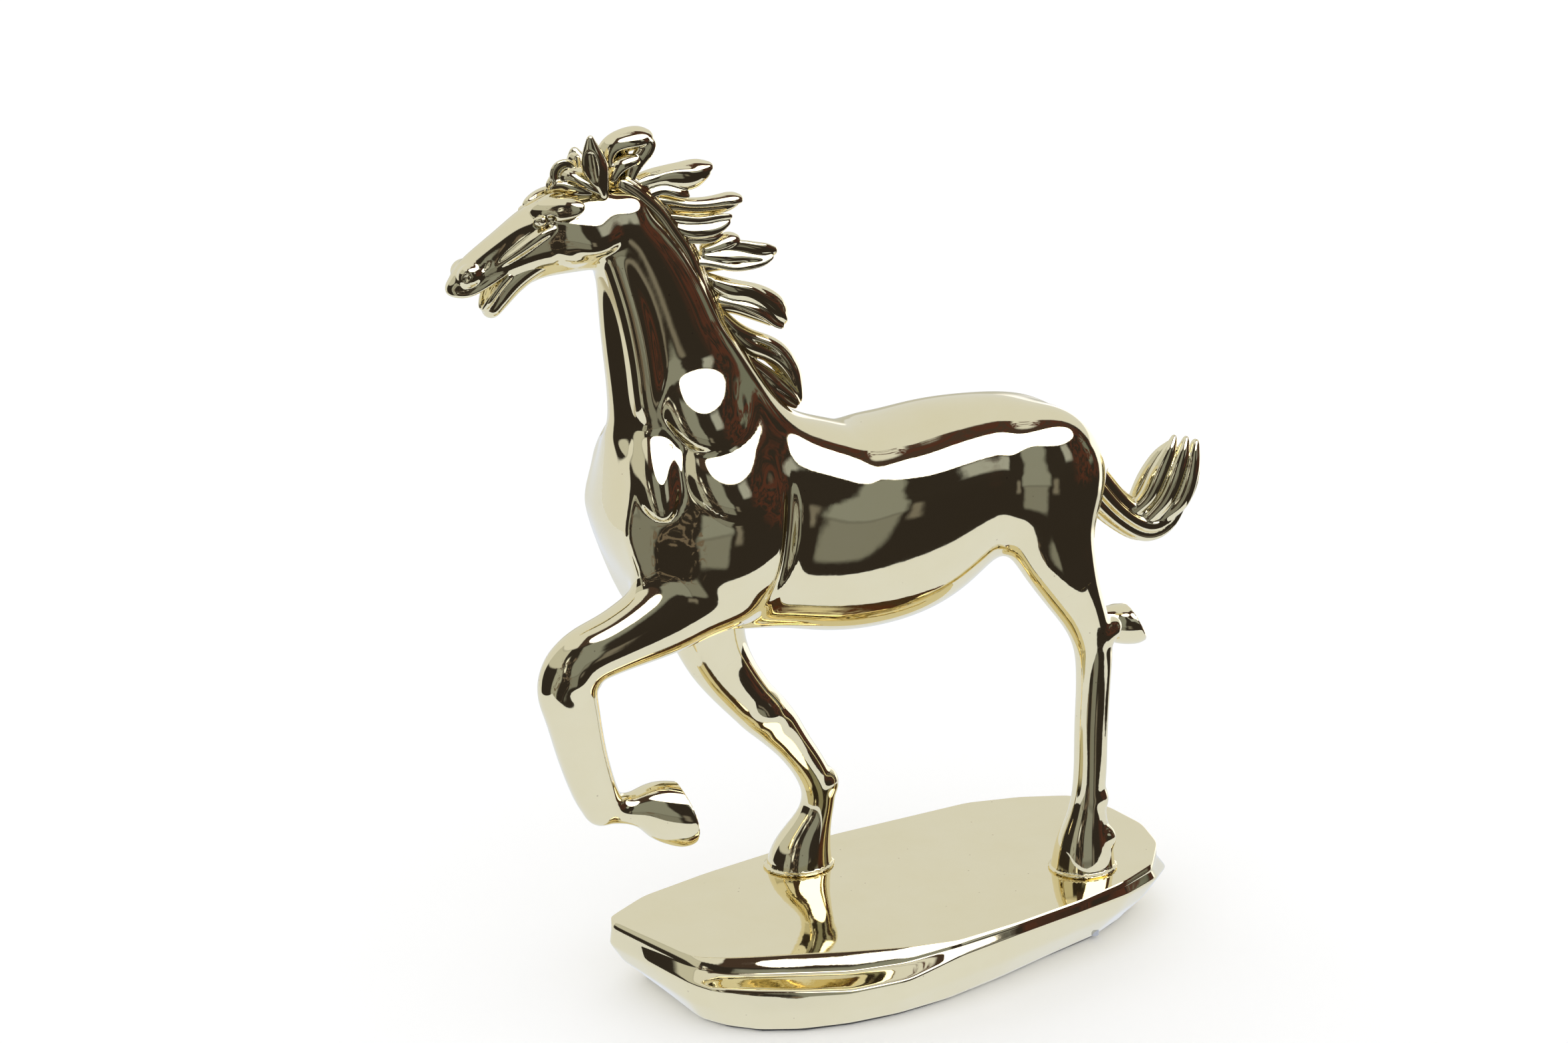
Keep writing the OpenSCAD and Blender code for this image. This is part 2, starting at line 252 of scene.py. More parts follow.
def slope(field, p, eps):
    """Gradient from four points round each one."""
    ways = np.array([(1, -1, -1), (-1, -1, 1), (-1, 1, -1), (1, 1, 1)], np.float32)
    return sum(field(p + eps * way)[:, None] * way for way in ways) / (4 * eps)


def surface(field, lo, hi, h, coarse=6):
    """Vertices, quads and outward normals of field = 0 inside a box, on a grid of step h."""
    lo, hi = np.array(lo, float), np.array(hi, float)
    n = np.ceil((hi - lo) / (h * coarse)).astype(int) + 1
    grid = n * coarse + 1
    axes_c = [lo[i] + (np.arange(n[i]) + 0.5) * h * coarse for i in range(3)]
    centre = np.stack(np.meshgrid(*axes_c, indexing="ij"), -1).reshape(-1, 3).astype(np.float32)
    fc = field(centre)
    block = h * coarse
    keep = np.abs(fc) < block * 1.1
    values = np.empty(grid, np.float32)
    sign = np.sign(fc).reshape(n) * FAR
    sign = np.repeat(np.repeat(np.repeat(sign, coarse, 0), coarse, 1), coarse, 2)
    values[:] = FAR
    values[:-1, :-1, :-1] = sign
    k = np.arange(coarse + 1)
    off = np.stack(np.meshgrid(k, k, k, indexing="ij"), -1).reshape(-1, 3)
    ijk = np.stack(np.unravel_index(np.flatnonzero(keep), n), 1) * coarse
    at = (ijk[:, None, :] + off[None]).reshape(-1, 3)
    flat = np.unique(np.ravel_multi_index(at.T, grid))
    at = np.stack(np.unravel_index(flat, grid), 1)
    values.ravel()[flat] = field((lo + at * h).astype(np.float32))
    inside = values < 0
    # cells with a change of sign
    c = [inside[i:grid[0] - 1 + i, j:grid[1] - 1 + j, m:grid[2] - 1 + m]
         for i in (0, 1) for j in (0, 1) for m in (0, 1)]
    total = sum(x.astype(np.int8) for x in c)
    cells = np.argwhere((total > 0) & (total < 8))
    index = np.full(grid - 1, -1, np.int64)
    index[tuple(cells.T)] = np.arange(len(cells))
    corner = np.array([(i, j, m) for i in (0, 1) for j in (0, 1) for m in (0, 1)])
    cv = np.stack([values[tuple((cells + o).T)] for o in corner], 1)
    pos = np.zeros((len(cells), 3))
    count = np.zeros(len(cells))
    for a in range(8):
        for b in range(a + 1, 8):
            if np.abs(corner[a] - corner[b]).sum() != 1:
                continue
            va, vb = cv[:, a], cv[:, b]
            cross = (va < 0) != (vb < 0)
            t = np.where(cross, va / np.where(cross, va - vb, 1.0), 0.0)
            t = np.clip(t, 0, 1)[:, None]
            pos += cross[:, None] * (corner[a] * (1 - t) + corner[b] * t)
            count += cross
    verts = lo + (cells + pos / count[:, None]) * h
    quads = []
    for axis in range(3):
        u, v = (axis + 1) % 3, (axis + 2) % 3
        a = inside[tuple(slice(0, grid[i] - 1) if i == axis else slice(1, grid[i] - 1)
                         for i in range(3))]
        b = inside[tuple(slice(1, grid[i]) if i == axis else slice(1, grid[i] - 1)
                         for i in range(3))]
        for flip, hit in ((False, a & ~b), (True, ~a & b)):
            at = np.argwhere(hit)
            at[:, u] += 1
            at[:, v] += 1
            ring = []
            for du, dv in ((-1, -1), (0, -1), (0, 0), (-1, 0)):
                q = at.copy()
                q[:, u] += du
                q[:, v] += dv
                ring.append(index[tuple(q.T)])
            ring = np.stack(ring[::-1] if flip else ring, 1)
            quads.append(ring)
    quads = np.vstack(quads)
    p = verts.astype(np.float32)
    g = slope(field, p, 0.3)
    g2 = np.maximum((g * g).sum(1), 0.1)[:, None]
    for _ in range(2):
        p = p - np.clip(field(p)[:, None] * g / g2, -0.7 * h, 0.7 * h)
    g = slope(field, p, 0.3)
    normals = g / np.maximum(np.linalg.norm(g, axis=1), 1e-6)[:, None]
    return p, quads, normals


# ---------------------------------------------------------------- meshes from fields

def mesh_object(name, points, faces, normals):
    """Object in metres from points in the horse's millimetres, with a normal for each."""
    mesh = bpy.data.meshes.new(name)
    mesh.from_pydata(((np.asarray(points) + HORSE) * MM).tolist(), [], faces.tolist())
    mesh.update()
    obj = bpy.data.objects.new(name, mesh)
    bpy.context.scene.collection.objects.link(obj)
    layer = mesh.attributes.new("sculpt_normal", "FLOAT_VECTOR", "POINT")
    layer.data.foreach_set("vector", np.asarray(normals, np.float32).ravel())
    return obj


def keep_biggest_part(bm):
    """Deletes every connected part but the one with the most vertices."""
    seen, parts = set(), []
    for start in bm.verts:
        if start in seen:
            continue
        stack, group = [start], [start]
        seen.add(start)
        while stack:
            v = stack.pop()
            for e in v.link_edges:
                w = e.other_vert(v)
                if w not in seen:
                    seen.add(w)
                    stack.append(w)
                    group.append(w)
        parts.append(group)
    parts.sort(key=len)
    for group in parts[:-1]:
        bmesh.ops.delete(bm, geom=group, context="VERTS")


def cut_at(obj, cuts):
    """Cuts an object by planes, each a point, a normal and the two corners of a box. What
    lies on the normal's side inside the box goes, and a flat cap closes the cut."""
    bm = bmesh.new()
    bm.from_mesh(obj.data)
    cap = bm.faces.layers.int.new("cap")
    for point, normal, lo, hi in cuts:
        co = Vector((np.array(point) + HORSE) * MM)
        no = Vector(normal).normalized()
        low, high = ((np.array(corner) + HORSE) * MM for corner in (lo, hi))

        def inside(face):
            c = face.calc_center_median()
            return all(low[i] <= c[i] <= high[i] for i in range(3))

        local = [f for f in bm.faces if inside(f)]
        parts = list({e for f in local for e in f.edges}) + local
        parts += list({v for f in local for v in f.verts})
        bmesh.ops.bisect_plane(bm, geom=parts, plane_co=co, plane_no=no, dist=1e-8)
        gone = [f for f in bm.faces if inside(f)
                and (f.calc_center_median() - co).dot(no) > 1e-9]
        bmesh.ops.delete(bm, geom=gone, context="FACES")
    loose = [v for v in bm.verts if not v.link_faces]
    bmesh.ops.delete(bm, geom=loose, context="VERTS")
    keep_biggest_part(bm)
    edge = [e for e in bm.edges if len(e.link_faces) == 1]
    made = bmesh.ops.holes_fill(bm, edges=edge, sides=0)["faces"]
    made = bmesh.ops.triangulate(bm, faces=made)["faces"]
    for f in made:
        f[cap] = 1
    bm.to_mesh(obj.data)
    bm.free()


def read(data, name, kind, width=1):
    """One property of every element, as an array."""
    values = np.zeros(len(data) * width, kind)
    data.foreach_get(name, values)
    return values.reshape(-1, width) if width > 1 else values


def polish(obj):
    """Sets the field's own normals on the sculpted faces, and flat ones on the caps."""
    mesh = obj.data
    point_n = read(mesh.attributes["sculpt_normal"].data, "vector", np.float32, 3)
    point_n /= np.maximum(np.linalg.norm(point_n, axis=1), 1e-6)[:, None]
    corner_n = point_n[read(mesh.loops, "vertex_index", np.int64)]
    if "cap" in mesh.attributes:
        start = read(mesh.polygons, "loop_start", np.int64)
        total = read(mesh.polygons, "loop_total", np.int64)
        face_n = read(mesh.polygons, "normal", np.float32, 3)
        for i in np.flatnonzero(read(mesh.attributes["cap"].data, "value", np.int32)):
            corner_n[start[i]:start[i] + total[i]] = face_n[i]
        mesh.attributes.remove(mesh.attributes["cap"])
    mesh.attributes.remove(mesh.attributes["sculpt_normal"])
    mesh.polygons.foreach_set("use_smooth", np.ones(len(mesh.polygons), bool))
    mesh.normals_split_custom_set(corner_n.tolist())


def sculpted(name, field, lo, hi, h, cuts=()):
    """A gold casting: the field's surface inside a box, on a grid of step h, then cut."""
    p, quads, normals = surface(field, lo, hi, h * DETAIL)
    obj = mesh_object(name + "_cast", p, quads, normals)
    if cuts:
        cut_at(obj, cuts)
    polish(obj)
    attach(obj, "root")
    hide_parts(name)
    return obj


# ---------------------------------------------------------------- the horse's forms

BODY = [(-72, 0, 165, 20, 24, 0, 3.4), (-62, 0, 166, 20.6, 27, 0, 3.4),
        (-50, 0, 164, 21.6, 30, 0, 2.8), (-36, 0, 163, 22.6, 33, 0, 2.1),
        (-18, 0, 162, 23.5, 36, 0, 2.1), (2, 0, 160, 25.4, 36, 0.08, 2.2),
        (22, 0, 155, 28.2, 35, 0.16, 2.3), (42, 0, 158, 29.4, 35.5, 0.16, 2.3),
        (60, 0, 165, 28, 31, 0.12, 2.2), (77, 0, 169, 25.5, 26.5, 0, 2), (92, 0, 169, 25, 22, 0, 2),
        (104, 0, 168.5, 21, 16.5, 0, 2), (113, 0, 166.5, 13, 9, 0, 2), (117.5, 0, 165.5, 4, 3, 0, 2)]
NECK = [(-26, 0, 172, 22, 35, 0, 2.8), (-30.5, 0, 190, 19, 31.5, 0, 2.6),
        (-35.3, 0, 207, 14.5, 26.3, 0, 2.2), (-41, 0, 224.5, 11.8, 21.3), (-45, 0, 239.5, 10.8, 18.7),
        (-49, 0, 251.5, 10.4, 15.6),
        (-54, 0, 261, 10.2, 12.8), (-60, 0, 267, 9.5, 11), (-65, 0, 269, 6, 8)]
HEAD = [(-54, 0, 269.5, 7.5, 8.5, 0.1, 2), (-58.5, 0, 268, 9.2, 11.6, 0.1, 2),
        (-66.5, 0, 267, 10.4, 12.6, 0.1, 2), (-75.5, 0, 265.8, 10.6, 12.2, 0.1, 2),
        (-84, 0, 264, 9.0, 10.4, 0.08, 2.1), (-91, 0, 261.4, 7.2, 8.2, 0.1, 2.2),
        (-97.5, 0, 258.4, 6.0, 6.8, 0.1, 2.2), (-103.5, 0, 254.9, 5.6, 6.2, 0.1, 2),
        (-108.3, 0, 252.2, 5.0, 4.8, 0, 2), (-111, 0, 250.4, 2.6, 2.2, 0, 2)]
FORE_STANDING = [(-30, 13, 148, 10, 17), (-23, 17, 127, 9.5, 14.5), (-16, 20, 107, 8.6, 11.2),
                 (-5, 20, 90.5, 7.6, 8.9), (5, 20, 79.5, 7.2, 8.2), (12, 20, 70, 5.8, 6.4),
                 (18.5, 20, 60, 5.6, 6), (22.0, 20, 51, 5.8, 6), (20.6, 20, 43, 5.6, 5.8),
                 (17.4, 20, 35, 7.6, 8.8), (14.8, 20, 28, 9.6, 11.6), (14.2, 20, 22, 10.4, 12.2)]
FORE_RAISED = [(-22, -9, 156, 9, 16), (-34, -14, 148, 10, 16), (-46, -17.6, 142.5, 10, 14.6),
               (-57, -19.8, 138.6, 9.4, 12.4), (-68, -21.6, 135.3, 8.6, 10.4),
               (-79.5, -22.6, 131.5, 8.0, 9.8),
               (-84.5, -22.2, 123.5, 7.8, 10), (-82.5, -21.6, 112, 7, 8.8, 0, 2.4),
               (-79.6, -20.4, 99, 6.6, 8, 0, 2.5), (-75.8, -19, 86.5, 6.4, 7.4, 0, 2.4),
               (-72, -18.2, 78, 6.4, 6.8), (-66, -18, 75.4, 4.8, 4.6), (-61.5, -18, 74.6, 5.2, 5.2),
               (-57.5, -18, 74.6, 6.6, 8.0), (-53, -18, 73.2, 8, 9.8), (-48, -18, 70.8, 8.8, 10.6),
               (-43, -18, 69, 9, 11)]
HIND_STANDING = [(88, -11, 178, 13, 17), (88, -14, 162, 12, 18), (92, -17, 145, 10.2, 15),
                 (98, -17.5, 130.5, 8.8, 11.2), (105, -16.6, 117, 7, 8.2), (109, -16.4, 105.5, 6.4, 6.8),
                 (109.2, -17, 92, 5.4, 5.8, 0, 2.4), (108.3, -18.2, 76, 5.2, 5.7, 0, 2.4),
                 (107.9, -19.4, 61, 5.2, 5.6, 0, 2.4), (107, -20.2, 50, 5.5, 5.9),
                 (106.4, -20.5, 42, 6.4, 7.6),
                 (105.8, -20.5, 34, 8.6, 10.4), (105.6, -20.5, 22, 10.4, 11.9)]
HIND_RAISED = [(84, 10, 174, 13, 18), (74, 14.5, 158, 12, 18), (83, 18, 148, 10.4, 13),
               (93, 20, 142, 8.4, 10), (103, 20, 136.5, 7, 8.6), (110, 20, 128, 6, 7.2),
               (115.5, 20, 117, 5.3, 6.2), (120.5, 20, 107, 5.2, 5.8), (125, 20, 100, 5.6, 6.0),
               (129.5, 20, 98.2, 5.0, 5.2), (134, 20, 97.2, 5.6, 6.0), (138, 20, 96.4, 6.8, 7.2),
               (142, 20, 95.6, 7.2, 7.6), (146, 20, 95.0, 7.0, 7.4)]

# where the castings join: a point, and the direction that leads away from the torso
NECK_FOOT = ((-35.3, 0, 207), (-10.5, 0, 34.5))
NECK_TOP = ((-49, 0, 251.5), (-9, 0, 21.5))
RIGHT_FORE = ((-16, 20, 107), (18, 0, -36.5))
LEFT_FORE = ((-68, -20, 135.3), (-22, 0, -6.6))
LEFT_HIND = ((98, -20, 130.5), (13, 0, -28))
RIGHT_HIND = ((93, 20, 142), (20, 0, -11.5))
EVERYWHERE = ((-200, -60, 0), (200, 60, 320))      # a box round the whole horse
HOOF_SEAT = ((0, 0, BASE_TOP), (0, 0, -1), *EVERYWHERE)    # the standing hooves end here


def onward(joint, box=EVERYWHERE):
    """Cut that takes away what leads on from a joint, within a box."""
    return (*joint, *box)


def inward(joint, box=EVERYWHERE):
    """Cut that takes away the torso's side of a joint, within a box."""
    point, normal = joint
    return (point, tuple(-c for c in normal), *box)


# node, two corners of the box that holds it, mesh step, cuts
CASTINGS = [
    ("torso", (-72, -36, 90), (124, 36, 226), 1.0,
     [onward(NECK_FOOT, ((-80, -40, 190), (0, 40, 260))),
      onward(RIGHT_FORE, ((-60, 4, 20), (40, 60, 125))),
      onward(LEFT_FORE, ((-140, -60, 50), (-55, 0, 160))),
      onward(LEFT_HIND, ((60, -60, 20), (150, 0, 142))),
      onward(RIGHT_HIND, ((85, 0, 60), (170, 60, 158)))]),
    ("neck", (-72, -30, 188), (4, 30, 268), 0.8, [inward(NECK_FOOT), onward(NECK_TOP)]),
    ("head", (-116, -20, 236), (-34, 20, 300), 0.55, [inward(NECK_TOP)]),
    ("right_foreleg", (-42, 5, 23), (34, 40, 126), 0.7, [inward(RIGHT_FORE), HOOF_SEAT]),
    ("left_foreleg", (-100, -34, 56), (-34, -6, 152), 0.6,
     [inward(LEFT_FORE, ((-75, -40, 115), (0, 0, 200)))]),
    ("left_hind_leg", (84, -36, 23), (126, -5, 146), 0.7, [inward(LEFT_HIND), HOOF_SEAT]),
    ("right_hind_leg", (82, 8, 82), (156, 34, 158), 0.6, [inward(RIGHT_HIND)])]


def horse_field():
    """Body, neck, legs and head as one form, which the castings are cut from."""
    horse = Sculpt(Limb(BODY, 3.0))
    # flat breast, leaning back above and below its middle
    horse.cut(Slab((-60.5, 0, 182), (-1, 0, 0.24)), 3.5)
    horse.cut(Slab((-60.5, 0, 160), (-1, 0, -0.30)), 4)
    # shoulder blades and haunches
    horse.add(mirrored_limb([(-22, 11, 188, 9, 12), (-25, 14, 178, 13.5, 21), (-27, 15, 166, 15, 26),
                             (-29, 15, 154, 14.5, 24), (-31, 14, 144, 11.5, 17)], 2.4), 8)
    horse.add(mirrored((91, 13, 166), (20, 14, 22), 8), 12)
    horse.add(Limb(NECK, 2.4), 16)
    # muscles that lean back: low on the neck, on top of the shoulder, and at its front edge
    horse.add(muscle((-32.5, -16.7, 213), (8, 33), (14.5, 18, 6)), 6)
    horse.add(muscle((-26.5, -24.0, 191), (8, 35), (15, 17, 6)), 4)
    horse.add(muscle((-50.4, -19.8, 193), (4, 33), (7.5, 18, 5), -8), 6)
    # the fold behind each shoulder
    horse.cut(mirrored_limb([(-5, 23, 205, 2.5, 2.5), (-7, 26.4, 192, 4, 3.0),
                             (-7.5, 27.8, 178, 4.6, 3.0), (-8.5, 28.0, 164, 4.6, 3.0),
                             (-10.5, 26.8, 150, 4, 2.8),
                             (-15, 24.5, 139, 3, 2.6)], 2.0), 2.4)
    # the neck's long throat muscle
    horse.add(mirrored_limb([(-60, 6, 257, 3.5, 4), (-55, 8, 240, 4.0, 4.6), (-52, 9.5, 222, 4.4, 5),
                             (-51, 10.5, 208, 4.4, 5), (-47, 9, 196, 3.6, 4)], 2.4), 5)
    # legs
    horse.add(Limb(FORE_STANDING, 2.0), 7)
    horse.add(Limb(FORE_RAISED, 1.6), 8)
    horse.add(Limb(HIND_STANDING, 2.0), 10)
    horse.add(Limb(HIND_RAISED, 1.6), 10)
    hooves_and_joints(horse)
    # head
    horse.add(Limb(HEAD, 1.4), 5)
    face(horse)
    return horse


def mirrored_limb(stations, step):
    """The same limb on both sides of the horse."""
    return [Limb([(x, side * y, *rest) for x, y, *rest in stations], step) for side in (1, -1)]


def hooves_and_joints(horse):
    # standing fore: knee, fetlock, toe, bead at the plinth
    horse.add(Blob((0, 20, 85.0), (7.2, 7.8, 8.0), 45), 4)
    horse.add(Blob((24.4, 20, 54), (4.4, 5.2, 5.6)), 2.5)
    horse.add(Blob((8.6, 20, 32.0), (2.6, 4.4, 1.8), -40), 1.2)
    horse.add(Blob((14.2, 20, 24.6), (12.9, 11.2, 1.3)), 0.6)
    # standing hind: hock point, fetlock, heel bulbs, bead
    horse.add(Blob((113, -16.4, 110), (4.4, 5.2, 6.8), -62), 4)
    horse.add(Blob((110.0, -20.2, 49.5), (4.2, 5.2, 5.0)), 2.5)
    horse.add([Blob((112.8, y, 35), (3.4, 3.4, 4.4)) for y in (-24, -17)], 2.5)
    horse.add(Blob((105.6, -20.5, 24.6), (12.5, 11.4, 1.3)), 0.6)
    # raised fore: knee, fetlock, hollow sole
    horse.add(Blob((-83.5, -22, 127), (7.0, 8.0, 8.6), 20), 3)
    horse.add(Blob((-72.8, -18.2, 77.0), (5.4, 6.0, 5.8)), 2.5)
    horse.cut(Blob((-14.3, -18, 76.4), (31, 20, 38), 12), 0.8)
    # raised hind: hock, heel bulbs, flat sole
    horse.add(Blob((112, 20, 127), (5, 5.4, 7), -50), 4)
    horse.add([Blob((139.5, y, 99.6), (3.4, 3.0, 2.6), -24) for y in (17, 23)], 1.6)
    horse.cut(Blob((168.3, 20, 107.2), (26, 26, 26)), 0.8)


def face(horse):
    # cheek disc, the slope behind it, the hollow under the ear
    horse.add(mirrored((-72.5, 7.0, 264.6), (9.6, 4.9, 8.4), 10), 2.0)
    horse.add(muscle((-66.0, -9.6, 271.0), (4, 34), (12, 10, 5), 25), 2.5)
    horse.add(Limb([(-64, 0, 258, 6.0, 5.4), (-74, 0, 257.8, 6.0, 5.6), (-82.5, 0, 257.0, 5.2, 5.6),
                    (-89, 0, 254.2, 4.8, 5.0), (-93.5, 0, 250.8, 4.6, 4.0)], 1.2), 3.5)
    # brow: a leaf over the eye, pointed at both ends
    horse.add(muscle((-80.0, -9.6, 275.6), (-32, 26), (8.6, 4.0, 2.6), 6), 1.6)
    horse.cut(mirrored((-84.2, 10.0, 270.4), (4.2, 2.6, 2.4), 24), 1.6)
    horse.add(mirrored((-84.6, 7.9, 271.2), (2.3, 2.0, 1.7), 22), 0.4)
    # the long bone below the eye and the hollow between it and the bridge
    horse.add(mirrored_limb([(-80.5, 8.6, 268.4, 1.2, 1.2), (-85, 8.3, 266.6, 1.7, 1.6),
                             (-90, 7.2, 263.2, 1.7, 1.6), (-95, 6.0, 259.8, 1.3, 1.2),
                             (-98.5, 5.2, 257.4, 0.7, 0.7)], 0.9), 1.2)
    horse.cut(mirrored_limb([(-86, 10.2, 270.6, 1.6, 1.6), (-92, 8.7, 267, 2.2, 2.0),
                             (-98, 7.4, 262.4, 1.8, 1.6), (-101, 6.6, 260, 1.0, 1.0)], 1.0), 2.2)
    # nostrils and lips
    horse.add(mirrored((-106.4, 3.6, 255.2), (3.9, 3.0, 3.6), 30), 1.4)
    horse.cut(mirrored((-101.8, 6.2, 258.0), (2.0, 1.5, 1.1), 50), 0.8)
    horse.cut(mirrored((-108.3, 6.4, 254.8), (1.5, 1.2, 1.0), 60), 0.8)
    horse.add(mirrored_limb([(-111, 1.8, 249.6, 1.3, 1.3), (-107.5, 3.4, 249.4, 1.5, 1.4),
                             (-103, 4.6, 251.4, 1.4, 1.3), (-98.5, 5.0, 253.8, 1.2, 1.2),
                             (-95.5, 5.2, 255.2, 0.8, 0.8)], 0.9), 1.0)


def build_horse():
    field = horse_field()
    return [sculpted(name, field, lo, hi, step, cuts) for name, lo, hi, step, cuts in CASTINGS]


# ---------------------------------------------------------------- jaw, ears, hair

def level(y, *points):
    """A strand that stays at one y; its points are x, z and radius."""
    return [(x, y, z, r) for x, z, r in points]


